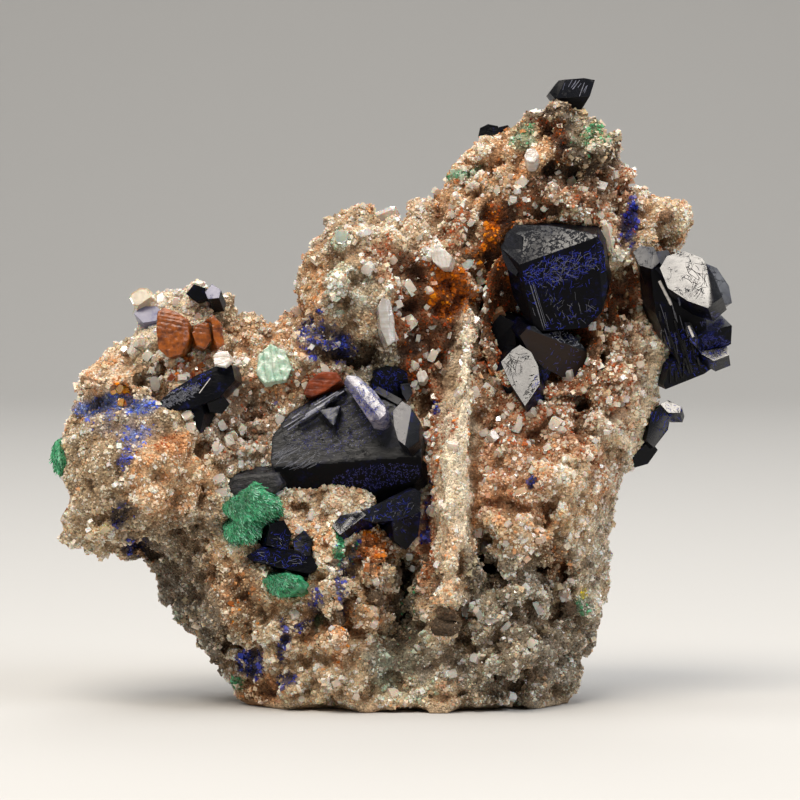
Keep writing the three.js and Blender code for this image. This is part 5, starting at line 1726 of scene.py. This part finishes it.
# Thick azurite shows little but its gloss; cerussite is heavy and bright, striped by growth, partly clear
CRYSTAL_FINISHES: dict[str, CrystalFinish] = {
    "azurite_slab": CrystalFinish(
        "azurite",
        AzuriteFace("etched_azurite", 0.36, 0.26, 0.14, "#06070a", "#202132", 0.5, 0.25, cloud_mm=3.4), 0.05,
        Wear(1.15, 0.14, 0.5, 0.05, (-0.54, 0.84), 0.62, 0.25),
    ),
    "azurite_lower_blades": CrystalFinish(
        "azurite", AzuriteFace("blue_black_azurite", 0.34, 0.14, 0.1, "#05060c", "#17205e", 0.52), 0.06
    ),
    # The lilac crystal's light lilac-grey base colour is partly painted reflection
    "azurite_lilac": CrystalFinish(
        "azurite", AzuriteFace("lilac_painted_sheen_azurite", 0.3, 0.3, 0.02, "#6e6c84", "#46497a", 0.52), 0.06
    ),
    "azurite": CrystalFinish("azurite", AzuriteFace("dark_azurite", 0.26, 0.08, 0.1), 0.06),
    "cerussite_amber_deep": CrystalFinish(
        "amber_cerussite",
        Cerussite("deep_amber_cerussite", "#8c3a10", "#4a1a06", 0.0, 0.4, 0.08, specular=0.16), 0.1,
        Wear(0.6, 0.04, 0.6, 0.09),
    ),
    "cerussite_amber": CrystalFinish(
        "amber_cerussite",
        Cerussite("amber_cerussite", "#a05206", "#4e2004", 0.0, 0.36, 0.05, 0.5, 0.2, 1.2, specular=0.26),
        0.1,
        Wear(0.8, 0.12, 0.5, 0.11, (0.12, 1.0), 0.6),
    ),
    "cerussite_white_block": CrystalFinish(
        "white_cerussite", Cerussite("striped_white_cerussite", "#f6f2ec", "#b8a692", 0.1, 0.25), 0.06,
        Wear(0.55, 0.12, 0.5, 0.03, (-0.15, 1.0), 0.0, 0.1),
    ),
    "cerussite_white": CrystalFinish(
        "white_cerussite", Cerussite("white_cerussite", "#f4efe8", "#d2c4b4", 0.25, 0.2), 0.06,
        Wear(0.7, 0.06, 0.7, 0.05, (1.0, 0.2), 0.0, 0.1),
    ),
    "cerussite_clear_prism": CrystalFinish(
        "clear_cerussite",
        Cerussite("blue_grown_cerussite", "#9a95a0", "#181f58", 0.2, 0.16, 0.05, 0.5, 0.2, 0.9), 0.05
    ),
    "cerussite_clear": CrystalFinish(
        "clear_cerussite", Cerussite("clear_cerussite", "#f8f6f2", "#d8cfc4", 0.5, 0.1), 0.06,
        Wear(0.8, 0.05, 0.8, 0.04, (1.0, 0.1), 0.0, 0.12),
    ),
    "cerussite_green": CrystalFinish(
        "green_cerussite",
        Cerussite("green_cerussite", "#dcecd8", "#9ccbac", 0.25, 0.34, 0.2, banded=0.12, blotch_mm=1.2), 0.1,
        Wear(0.9, 0.16, 0.7, 0.2, (1.0, 0.3)),
    ),
}
# Single faces: fresh ones mirror the lamps, etched ones are duller and paler, cracked ones show a black net;
# the glint's pale face has a base colour lightened as painted reflection, the lilac faces one that is partly
# painted reflection, and faces that lie in shade are painted darker and duller as painted shade
GLASSY = AzuriteFace("glassy_azurite_face", 0.1, 0.5, 0.01, "#0c0d14", "#10142c", cracked=0.3)
# Painted reflection: a pale grey base colour lightens the glint's face
PALE_PAINTED_SHEEN = AzuriteFace("pale_painted_sheen_azurite_face", 0.2, 0.5, 0.012, "#3a383e", "#2c2c3c", cracked=0.12)
CRACKED = AzuriteFace(
    "cracked_azurite_face", 0.2, 0.22, 0.012, "#14151b", "#1c1e30", cracked=1.0, crack_mm=1.0, gap=0.11
)
# Its light lilac-grey base colour is partly painted reflection
LILAC_PAINTED_SHEEN = AzuriteFace("lilac_painted_sheen_azurite_face", 0.25, 0.3, 0.012, "#6c6a82", "#4a4c78", cracked=0.2)
DULL = AzuriteFace("dull_azurite_face", 0.34, 0.34, 0.012, "#14151e", "#1c2042", cracked=0.5)
BRIGHT = AzuriteFace("bright_azurite_face", 0.12, 0.31, 0.01, "#0c0d14", "#10142c", cracked=0.2)
BROWN = AzuriteFace("brown_azurite_face", 0.34, 0.12, 0.08, "#24170f", "#1c1820", 0.52)
VEINED = AzuriteFace(
    "veined_azurite_face", 0.3, 0.3, 0.02, "#34353b", "#2c2d3a", cracked=0.85, crack_mm=0.9, gap=0.14
)
TERRACED = AzuriteFace("terraced_azurite_face", 0.3, 0.3, 0.06, "#2c2e36", "#44465a", 0.5)
SHADED = AzuriteFace("shaded_azurite_face", 0.5, 0.05, 0.05, "#040408", "#10143c", 0.54)
Spots = tuple[tuple[float, float], ...]
SPECIAL_FACES: tuple[tuple[AzuriteFace, dict[str, Spots]], ...] = (
    (
        GLASSY,
        {
            "azurite_fan": ((695, 285), (722, 353)),
            "azurite_tip": ((570, 90),),
            "azurite_tail": ((672, 409), (660, 430)),
            "azurite_lower_blades": ((392, 499), (350, 519)),
        },
    ),
    (PALE_PAINTED_SHEEN, {"azurite_glint": ((400, 425),)}),
    (LILAC_PAINTED_SHEEN, {"azurite_north_west": ((212, 291),)}),
    (CRACKED, {"azurite_block": ((545, 248),)}),
    (VEINED, {"azurite_block": ((511, 238), (503, 246))}),
    (BRIGHT, {"azurite_tablets": ((520, 375),)}),
    (BROWN, {"azurite_tablets": ((565, 352), (545, 345))}),
    (TERRACED, {"azurite_slab": ((332, 413),)}),
    (
        DULL,
        {
            "azurite_fan": ((643, 257), (660, 256), (725, 290), (718, 322)),
            "azurite_splinters": ((387, 396), (407, 389)),
        },
    ),
    (
        SHADED,
        {
            "azurite_slab": ((350, 480), (400, 462)),
            "azurite_block": ((570, 295),),
            "azurite_fan": ((665, 330),),
        },
    ),
)


@dataclass
class LargeCrystals:
    """The crystals that are solids of their own, with worn edges and their real finish."""

    nodes: Sequence[str]  # their solids
    flat_deg: float = 1.5  # faces that meet at less than this are merged
    cut_deg: float = 22.0  # edges below this angle are shaded smooth on a cut crystal
    worn_deg: float = 40.0  # the same on a worn one
    same_way: float = 0.999  # how nearly a face points as a marked one does, to share its finish
    same_plane_mm: float = 0.05  # how nearly it lies in the other's plane

    def build(self) -> dict[str, Object]:
        """Model and dress every crystal.

        Returns:
            The pieces, by the solid's name.
        """
        looks = {kind: finish.look.make() for kind, finish in CRYSTAL_FINISHES.items()}
        pieces = {}
        for node in self.nodes:
            kind = next(kind for kind in CRYSTAL_FINISHES if node.startswith(kind))
            pieces[node] = self.crystal(node, CRYSTAL_FINISHES[kind], looks[kind])
        for face, spots_of in SPECIAL_FACES:
            special = face.make()
            for node, spots in spots_of.items():
                self.refinish(pieces[node], node, spots, special)
        return pieces

    def crystal(self, node: str, finish: CrystalFinish, look: Material) -> Object:
        """Model one crystal.

        Args:
            node: The solid that it stands for.
            finish: Its finish.
            look: Its material.

        Returns:
            The piece.
        """
        made = copy_of(node, f"{node}_cut")
        bpy.ops.object.mode_set(mode="EDIT")
        bpy.ops.mesh.select_all(action="SELECT")
        bpy.ops.mesh.dissolve_limited(angle_limit=math.radians(self.flat_deg))
        bpy.ops.mesh.bevel(
            offset=finish.bevel_mm * MM, offset_type="OFFSET", segments=2, affect="EDGES", clamp_overlap=True
        )
        bpy.ops.object.mode_set(mode="OBJECT")
        if finish.wear:
            apply_modifier(made, "REMESH", mode="VOXEL", voxel_size=finish.wear.mesh_mm * MM)
            apply_modifier(made, "SMOOTH", factor=0.5, iterations=1)
            finish.wear.apply(made)
        smooth_deg = self.worn_deg if finish.wear else self.cut_deg
        bpy.ops.object.shade_smooth_by_angle(angle=math.radians(smooth_deg))
        place(made, look, finish.slot, node)
        return made

    def refinish(self, made: Object, node: str, spots: Spots, special: Material) -> None:
        """Give the faces at some spots a finish of their own.

        Args:
            made: The crystal.
            node: The solid that it stands for.
            spots: Column and row of a place on each face.
            special: The finish.
        """
        made.data.materials.append(special)
        tree = tree_of([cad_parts[node]])
        faces = [(face.index, *tree.find_nearest(face.center)[:2]) for face in made.data.polygons]
        for spot in spots:
            hit, outward, _, _ = tree.ray_cast(*SIGHT.ray(*spot))
            if hit is None:
                LOG.warning("%s has no face at %s", made.name, spot)
                continue
            for index, near, normal in faces:
                apart = abs((near - hit).dot(outward))
                if normal.dot(outward) > self.same_way and apart < self.same_plane_mm * MM:
                    made.data.polygons[index].material_index = len(made.data.materials) - 1


# Marks that lie on the crystals


class Mark(Enum):
    """Kinds of marks, by the piece that each makes."""

    ETCH = "etched_lines"
    NEEDLE = "azurite_needles"
    FROST_AND_PAINTED_GLINTS = "azurite_frost_and_painted_glints"
    RIDGE = "azurite_ridges"


@dataclass(frozen=True)
class Marks:
    """Many thin marks that lie on a crystal's face."""

    kind: Mark
    nodes: tuple[str, ...]  # the crystals that carry them
    column: float  # middle of the oval that they start in
    row: float  # middle of that oval
    wide: float  # half its width
    tall: float  # half its height
    turn: float  # degrees that it is turned clockwise
    count: int
    long: tuple[float, float]  # least and greatest length in pixels
    run: float  # their direction, in degrees clockwise from the right
    spread: float  # how far it varies
    bend: float  # how far they turn at each step
    wide_mm: float
    high_mm: float
    tones: tuple[str, ...]


ETCH, NEEDLE, FROST_AND_PAINTED_GLINTS, RIDGE = Mark
BLACK = ("#060608", "#0a0a0c")
NEEDLE_BLUE = ("#0a0f4c", "#101872", "#16228c", "#070a32", "#1c2ca4", "#2c3eb8")
FROST_GREY = ("#5c5e6a", "#44464f", "#74767e")
FROST_VIOLET = ("#2a2c70", "#20245c", "#3e4084")
FROST_PALE = ("#6e7080", "#8c8d9a", "#54566a")
# Light grey slivers on edges of the fan and the west tablet: painted highlights
PAINTED_HIGHLIGHT = ("#d4cfca",)
RUBBLE = (1.2, 4.4)
BLOCK, TABLETS, SLAB, FAN = ("azurite_block",), ("azurite_tablets",), ("azurite_slab",), ("azurite_fan",)
TAIL, TIP, SPLINTERS = ("azurite_tail",), ("azurite_tip",), ("azurite_splinters",)
LOWER_BLADES, WEST_BLADES = ("azurite_lower_blades",), ("azurite_west_blades",)
WEST_TABLET, PRISM = ("azurite_west_tablet",), ("cerussite_clear_prism",)
ALL_MARKS = (
    Marks(ETCH, TABLETS, 513, 361, 9, 9, 0, 22, (4, 14), 60, 80, 14, 0.09, 0.03, BLACK),
    Marks(ETCH, TABLETS, 533, 388, 7, 15, 0, 40, (1.5, 5), 150, 24, 16, 0.14, 0.03, BLACK),
    Marks(ETCH, FAN, 696, 275, 14, 16, 0, 24, (5, 16), 70, 60, 12, 0.09, 0.03, BLACK),
    Marks(NEEDLE, BLOCK, 560, 268, 42, 13, -14, 420, RUBBLE, -12, 90, 16, 0.07, 0.07, NEEDLE_BLUE),
    Marks(NEEDLE, BLOCK, 602, 252, 8, 20, 0, 90, RUBBLE, 90, 90, 16, 0.075, 0.07, NEEDLE_BLUE),
    Marks(NEEDLE, BLOCK, 538, 290, 14, 22, 0, 44, RUBBLE, -60, 90, 12, 0.07, 0.06, NEEDLE_BLUE),
    Marks(NEEDLE, BLOCK, 575, 318, 34, 10, -14, 56, RUBBLE, 0, 90, 12, 0.07, 0.06, NEEDLE_BLUE),
    Marks(NEEDLE, BLOCK, 566, 290, 30, 22, 0, 36, (2, 7), -60, 70, 8, 0.06, 0.05, NEEDLE_BLUE),
    Marks(FROST_AND_PAINTED_GLINTS, BLOCK, 556, 270, 34, 12, -14, 34, (4, 12), -14, 50, 14, 0.06, 0.05, FROST_GREY),
    Marks(FROST_AND_PAINTED_GLINTS, BLOCK, 562, 305, 30, 20, 0, 40, (2, 9), 85, 60, 8, 0.05, 0.04, FROST_GREY),
    Marks(FROST_AND_PAINTED_GLINTS, BLOCK, 531, 282, 4, 5, 0, 4, (34, 48), 73, 1, 0.3, 0.08, 0.06, FROST_GREY),
    Marks(NEEDLE, TABLETS, 545, 388, 12, 20, 0, 150, RUBBLE, 80, 90, 12, 0.07, 0.06, NEEDLE_BLUE),
    Marks(NEEDLE, TABLETS, 560, 365, 22, 22, 0, 60, RUBBLE, 40, 90, 8, 0.07, 0.05, FROST_VIOLET),
    Marks(FROST_AND_PAINTED_GLINTS, TABLETS, 566, 338, 22, 6, 22, 110, (1, 4), 20, 70, 10, 0.1, 0.07, FROST_GREY),
    Marks(FROST_AND_PAINTED_GLINTS, SLAB, 305, 414, 34, 7, -33, 9, (22, 56), -33, 3, 0.3, 0.2, 0.24, FROST_PALE),
    Marks(FROST_AND_PAINTED_GLINTS, SLAB, 330, 425, 50, 30, -14, 420, (0.8, 2.4), -30, 90, 8, 0.08, 0.05, FROST_GREY),
    Marks(FROST_AND_PAINTED_GLINTS, SLAB, 290, 461, 22, 9, 10, 70, (4, 14), -32, 14, 2, 0.08, 0.07, FROST_GREY),
    Marks(NEEDLE, SLAB, 340, 415, 56, 36, -14, 900, (0.8, 2.2), -30, 90, 8, 0.09, 0.06, FROST_VIOLET),
    Marks(NEEDLE, SLAB, 375, 477, 46, 12, -8, 420, (0.8, 2.2), -20, 90, 8, 0.1, 0.06, FROST_VIOLET),
    Marks(RIDGE, FAN, 670, 322, 16, 26, 0, 7, (24, 60), 76, 5, 0.4, 0.5, 0.4, BLACK),
    Marks(RIDGE, FAN, 682, 352, 16, 20, 0, 7, (10, 34), 82, 12, 0.4, 0.4, 0.4, BLACK),
    # Two light slivers on the fan: painted highlights
    Marks(FROST_AND_PAINTED_GLINTS, FAN, 659, 281, 0.5, 0.5, 0, 1, (26, 27), 63, 1, 0, 0.55, 0.4, PAINTED_HIGHLIGHT),
    Marks(FROST_AND_PAINTED_GLINTS, FAN, 689, 327, 0.5, 0.5, 0, 1, (22, 23), 68, 1, 0, 0.5, 0.7, PAINTED_HIGHLIGHT),
    Marks(FROST_AND_PAINTED_GLINTS, FAN, 672, 312, 14, 22, 0, 12, (6, 22), 76, 5, 1, 0.07, 0.55, FROST_GREY),
    Marks(FROST_AND_PAINTED_GLINTS, FAN, 712, 322, 12, 10, 0, 120, RUBBLE, 10, 90, 8, 0.08, 0.05, FROST_VIOLET),
    Marks(NEEDLE, FAN, 688, 352, 32, 24, 0, 420, RUBBLE, 20, 90, 12, 0.08, 0.08, NEEDLE_BLUE),
    Marks(NEEDLE, FAN, 712, 345, 20, 10, 0, 150, RUBBLE, 20, 90, 8, 0.1, 0.08, FROST_VIOLET),
    Marks(FROST_AND_PAINTED_GLINTS, WEST_TABLET, 178, 396, 22, 7, -24, 300, RUBBLE, -24, 70, 8, 0.11, 0.07, FROST_GREY),
    # A light sliver on the tablet: painted highlight
    Marks(FROST_AND_PAINTED_GLINTS, WEST_TABLET, 199, 393, 0.5, 0.5, 0, 1, (18, 19), -54, 1, 0, 0.16, 0.1, PAINTED_HIGHLIGHT),
    Marks(NEEDLE, WEST_TABLET, 192, 382, 22, 6, -24, 90, RUBBLE, -24, 80, 8, 0.08, 0.08, NEEDLE_BLUE),
    Marks(FROST_AND_PAINTED_GLINTS, TIP, 575, 92, 13, 9, 0, 14, (5, 18), -60, 14, 0.3, 0.1, 0.06, FROST_PALE),
    Marks(FROST_AND_PAINTED_GLINTS, BLOCK, 566, 268, 34, 10, -14, 60, (3, 9), -10, 70, 12, 0.05, 0.06, FROST_GREY),
    Marks(FROST_AND_PAINTED_GLINTS, WEST_BLADES + TAIL, 275, 552, 34, 20, 0, 30, (3, 9), 20, 40, 8, 0.07, 0.05, FROST_GREY),
    Marks(FROST_AND_PAINTED_GLINTS, LOWER_BLADES, 385, 520, 34, 20, -20, 60, (1, 5), -30, 60, 8, 0.07, 0.05, FROST_GREY),
    Marks(NEEDLE, LOWER_BLADES, 375, 520, 40, 26, -20, 260, RUBBLE, 0, 90, 10, 0.065, 0.07, NEEDLE_BLUE),
    Marks(NEEDLE, WEST_BLADES, 275, 552, 34, 20, 0, 260, RUBBLE, 10, 90, 10, 0.065, 0.07, NEEDLE_BLUE),
    Marks(NEEDLE, SPLINTERS, 385, 380, 24, 14, 0, 160, RUBBLE, 20, 80, 10, 0.075, 0.07, NEEDLE_BLUE),
    Marks(NEEDLE, TAIL, 672, 400, 22, 44, 0, 360, RUBBLE, 60, 70, 10, 0.08, 0.08, NEEDLE_BLUE),
    Marks(NEEDLE, PRISM, 364, 398, 16, 18, 0, 200, RUBBLE, 50, 90, 10, 0.07, 0.06, NEEDLE_BLUE),
)
# Pits mirror nothing, needles and ridges shine faintly, frosting looks powdery, and the light slivers laid
# with it are painted highlights
MARK_FINISHES = {
    Mark.ETCH: CrystalCrust("azurite_pits", 0.9, 1.5, specular=0.0),
    Mark.NEEDLE: CrystalCrust("azurite_needle", 0.4, 1.75, specular=0.2),
    Mark.FROST_AND_PAINTED_GLINTS: CrystalCrust("azurite_frosting_and_painted_glints", 0.5, 1.75),
    Mark.RIDGE: CrystalCrust("azurite_ridge", 0.3, 1.78, specular=0.1),
}


@dataclass
class MarkField:
    """The etched lines, needles and frost on the large crystals."""

    crystals: dict[str, Object]  # the pieces that carry them, by the solid's name
    forms: GrainForms  # has the form of a straight bit
    seed: int = 31  # for the draws
    step_px: float = 2.6  # length of the bits of a bent mark
    straight_px: float = 9.0  # length of the bits of a straight one

    def build(self) -> None:
        """Model and dress the marks, one piece to each kind."""
        random = default_rng(self.seed)
        trees = {node: tree_of([piece]) for node, piece in self.crystals.items()}
        rows: dict[Mark, list[tuple]] = {kind: [] for kind in Mark}
        for marks in ALL_MARKS:
            for node in marks.nodes:
                rows[marks.kind] += self.traced(marks, trees[node], random)
        for kind, found in rows.items():
            places, axes, normals, sizes, tones = (np.array(column) for column in zip(*found))
            copies = Copies(self.forms.needle, places, laid_along(axes, normals), sizes, tones, tones)
            made = joined(kind.value, [copies])
            place(made, MARK_FINISHES[kind].make(), "azurite")

    def traced(self, marks: Marks, tree: BVHTree, random: Generator) -> list[tuple]:
        """Trace marks over a crystal as the viewer sees them.

        Args:
            marks: What to trace.
            tree: The crystal's triangles.
            random: Where the draws come from.

        Returns:
            Place, direction, outward direction, size and colour of each straight bit.
        """
        turn = math.radians(marks.turn)
        found = []
        for _ in range(marks.count):
            u, v = thrown(random, marks.wide, marks.tall)
            column = marks.column + u * math.cos(turn) - v * math.sin(turn)
            row = marks.row + u * math.sin(turn) + v * math.cos(turn)
            run = math.radians(marks.run + marks.spread * random.uniform(-1, 1))
            long = random.uniform(*marks.long)
            tone = linear(marks.tones[random.integers(len(marks.tones))])
            steps = max(1, round(long / (self.step_px if marks.bend > 1 else self.straight_px)))
            before = tree.ray_cast(*SIGHT.ray(column, row))
            for _ in range(steps):
                column += long / steps * math.cos(run)
                row += long / steps * math.sin(run)
                run += math.radians(marks.bend) * random.normal()
                after = tree.ray_cast(*SIGHT.ray(column, row))
                if before[0] is None or after[0] is None or before[1].dot(after[1]) < 0.9:
                    before = after
                    continue
                along = after[0] - before[0]
                if 1e-6 < along.length < 3 * SIGHT.mm_per_pixel * MM * long / steps:
                    size = (marks.wide_mm * MM, marks.high_mm * MM, along.length * 1.04)
                    middle = (before[0] + after[0]) / 2
                    found.append((middle, along.normalized(), before[1], size, tone))
                before = after
        return found


# Malachite


@dataclass
class MalachiteMass:
    """Silky green masses: a lumpy body with fibres that spread from one corner."""

    node: str  # the solid that it stands for
    source: tuple[float, float]  # column and row that the fibres spread from
    # column, row, half width and half height of the part that they cover
    oval: tuple[float, float, float, float]
    fibres: int
    body: tuple[str, str] = ("#14663e", "#44a878")  # colours of the body
    # colours of the fibres
    tones: tuple[str, ...] = ("#1c7a4a", "#2f9a64", "#58ba88", "#96d8b6", "#125636", "#3caa74")
    long_mm: tuple[float, float] = (0.35, 0.9)  # their least and greatest length
    wide_mm: float = 0.1  # their width
    rising: float = 0.06  # how far they leave the body
    voxel_mm: float = 0.3  # size of the body's mesh
    melt: int = 8  # how often it is smoothed
    # layers of bulges on the body
    reliefs: Sequence[Relief] = (Relief("CLOUDS", 2.4, 0.9), Relief("CLOUDS", 0.9, 0.5))

    def build(self, forms: GrainForms, look: Material) -> None:
        """Model the body and its fibres, and dress them.

        Args:
            forms: Has the fibre's form.
            look: The finish of both.
        """
        made = copy_of(self.node, f"{self.node}_body")
        apply_modifier(made, "REMESH", mode="VOXEL", voxel_size=self.voxel_mm * MM)
        apply_modifier(made, "SMOOTH", factor=0.5, iterations=self.melt)
        for i, relief in enumerate(self.reliefs):
            relief.raise_on(made, f"{self.node}_relief_{i}")
        made.data.shade_smooth()
        points = corners_of(made.data)
        dark, light = (np.array(linear(code)) for code in self.body)
        part = step_between(-0.3, 0.4, layered_noise(points, 1.2, 61))[:, None]
        set_tones(made.data, dark * (1 - part) + light * part)
        place(made, look, "malachite", self.node)
        fibres = joined(f"{self.node}_fibres", [self.grown(made, forms.needle)])
        place(fibres, look, "malachite")

    def grown(self, body: Object, form: Form) -> Copies:
        """Grow the fibres on the body.

        Args:
            body: The body.
            form: The fibre's form.

        Returns:
            The fibres.
        """
        random = default_rng(len(self.node) + self.fibres)
        tree = tree_of([body])
        column, row, wide, tall = self.oval
        rows = []
        for _ in range(self.fibres):
            across, down = thrown(random, wide, tall)
            at = (column + across, row + down)
            hit, normal, _, _ = tree.ray_cast(*SIGHT.ray(*at))
            if hit is None:
                continue
            out = np.array([at[0] - self.source[0], 0, self.source[1] - at[1]])
            axis = out / np.linalg.norm(out) + self.rising * np.array(normal) + 0.2 * random.normal(size=3)
            axis /= np.linalg.norm(axis)
            long = random.uniform(*self.long_mm) * MM
            tone = linear(self.tones[random.integers(len(self.tones))])
            rows.append((np.array(hit) + axis * long * 0.2, axis, np.array(normal), long, tone))
        places, axes, normals, longs, tones = (np.array(values) for values in zip(*rows))
        widths = self.wide_mm * MM * random.uniform(0.6, 1.4, len(longs))
        sizes = np.column_stack([widths, widths * 0.7, longs])
        return Copies(form, places, laid_along(axes, normals), sizes, tones * 1.1, tones * 0.5)


# Studio


@dataclass(frozen=True)
class Softbox:
    """A lamp with a wide face, turned to the specimen."""

    name: str
    azimuth_deg: float  # degrees right of the viewer
    elevation_deg: float  # degrees over the floor
    distance: float  # from the specimen
    wide: float
    tall: float
    radiance: float  # brightness of its face
    tint: str = "#ffffff"

    def build(self, target: Vector) -> None:
        """Add the lamp.

        Args:
            target: What it is turned to.
        """
        a, e = math.radians(self.azimuth_deg), math.radians(self.elevation_deg)
        away = Vector((math.sin(a) * math.cos(e), -math.cos(a) * math.cos(e), math.sin(e)))
        bpy.ops.object.light_add(type="AREA", location=target + away * self.distance)
        lamp = bpy.context.object
        lamp.name = self.name
        lamp.rotation_euler = (-away).to_track_quat("-Z", "Y").to_euler()
        lamp.data.shape = "RECTANGLE"
        lamp.data.size = self.wide
        lamp.data.size_y = self.tall
        lamp.data.energy = self.radiance * math.pi * self.wide * self.tall
        lamp.data.color = linear(self.tint)
        lamp.visible_camera = False


@dataclass
class Studio:
    """Pale floor with a curved backdrop, dim room light and softboxes."""

    half_width: float = 1.6  # of the floor
    depth: float = 1.3  # half the floor's
    height: float = 1.8  # of the backdrop
    curve: float = 0.5  # size of the bend between them
    room_light: float = 0.12  # brightness of the room
    # the lamps
    softboxes: tuple[Softbox, ...] = (
        Softbox("key", -22, 58, 0.9, 0.5, 0.42, 11.4, "#fff7ec"),
        Softbox("overhead", 10, 98, 0.8, 0.7, 0.5, 2.6),
        Softbox("right", 64, 36, 0.9, 0.4, 0.5, 6.4, "#f6f9ff"),
        Softbox("left", -84, 30, 1.0, 0.5, 0.5, 2.4),
        Softbox("rear", 170, 45, 1.1, 0.6, 0.5, 3.0),
    )

    def build(self) -> None:
        """Build the studio."""
        self.floor()
        for softbox in self.softboxes:
            softbox.build(Vector(SIGHT.aim_mm) * MM)
        world = bpy.data.worlds.new("dim_room")
        world.use_nodes = True
        world.node_tree.nodes.clear()
        air = add_node(world.node_tree, "Background", {"Color": rgba("#f2f4f8"), "Strength": self.room_light})
        add_node(world.node_tree, "OutputWorld", {"Surface": air})
        bpy.context.scene.world = world
        bpy.context.scene.view_settings.view_transform = "Standard"

    def floor(self) -> None:
        """Model the floor, whose back edge curves up to the backdrop."""
        bpy.ops.object.select_all(action="DESELECT")
        bpy.ops.mesh.primitive_plane_add(size=2)
        made = bpy.context.object
        made.name = "studio_floor"
        made.scale = (self.half_width, self.depth, 1)
        bpy.ops.object.transform_apply(scale=True)
        for edge in made.data.edges:
            edge.select = all(made.data.vertices[i].co.y > 0 for i in edge.vertices)
        for vertex in made.data.vertices:
            vertex.select = vertex.co.y > 0
        for polygon in made.data.polygons:
            polygon.select = False
        bpy.ops.object.mode_set(mode="EDIT")
        bpy.ops.mesh.select_mode(type="EDGE")
        bpy.ops.mesh.extrude_region_move(TRANSFORM_OT_translate={"value": (0, 0, self.height)})
        bpy.ops.object.mode_set(mode="OBJECT")
        for edge in made.data.edges:
            ends = [made.data.vertices[i].co for i in edge.vertices]
            edge.select = all(end.y > 0 and abs(end.z) < MM for end in ends)
        bpy.ops.object.mode_set(mode="EDIT")
        bpy.ops.mesh.bevel(offset=self.curve, segments=24, affect="EDGES")
        bpy.ops.object.mode_set(mode="OBJECT")
        bpy.ops.object.shade_smooth()
        made.data.materials.append(StudioPaper().make())


def main() -> None:
    """Build the studio, the rock, its grains and its crystals, in that order."""
    logging.basicConfig(level=logging.INFO, format="%(name)s: %(message)s")
    SIGHT.build()
    Studio().build()
    grown = [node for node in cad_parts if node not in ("ore_matrix", "hollow_druse")]
    room = CrystalRoom(grown)
    ground = OreGround().make()
    forms = GrainForms()
    ore = Skin("ore_matrix", "ore_skin", "ore", room)
    lining = Skin(
        "hollow_druse", "hollow_lining", "druse", room, melt=3, strokes=(),
        reliefs=(Relief("CLOUDS", 3.0, 0.9), Relief("VORONOI", 1.6, -0.8, 0.4)), sunk_mm=0.3, calms=(),
    )
    ore.build(ground)
    lining.build(ground)
    Druse([ore, lining], room, forms).build()
    GemField([ore, lining], forms).build()
    crystals = LargeCrystals([node for node in grown if not node.startswith("malachite")]).build()
    MarkField(crystals, forms).build()
    # Fine parallel fibres give malachite a soft, silky sheen
    silky = CrystalCrust("fibrous_malachite", 0.38, 1.75, glow=0.1).make()
    MalachiteMass("malachite_fan", (214, 470), (252, 515, 34, 40), 3400).build(forms, silky)
    MalachiteMass("malachite_south_west", (262, 560), (278, 580, 18, 14), 600).build(forms, silky)
    MalachiteMass(
        "malachite_edge", (64, 425), (60, 458, 9, 24), 420, ("#2a9a62", "#7cc89c"), rising=0.05
    ).build(forms, silky)


if __name__ == "__main__":
    main()
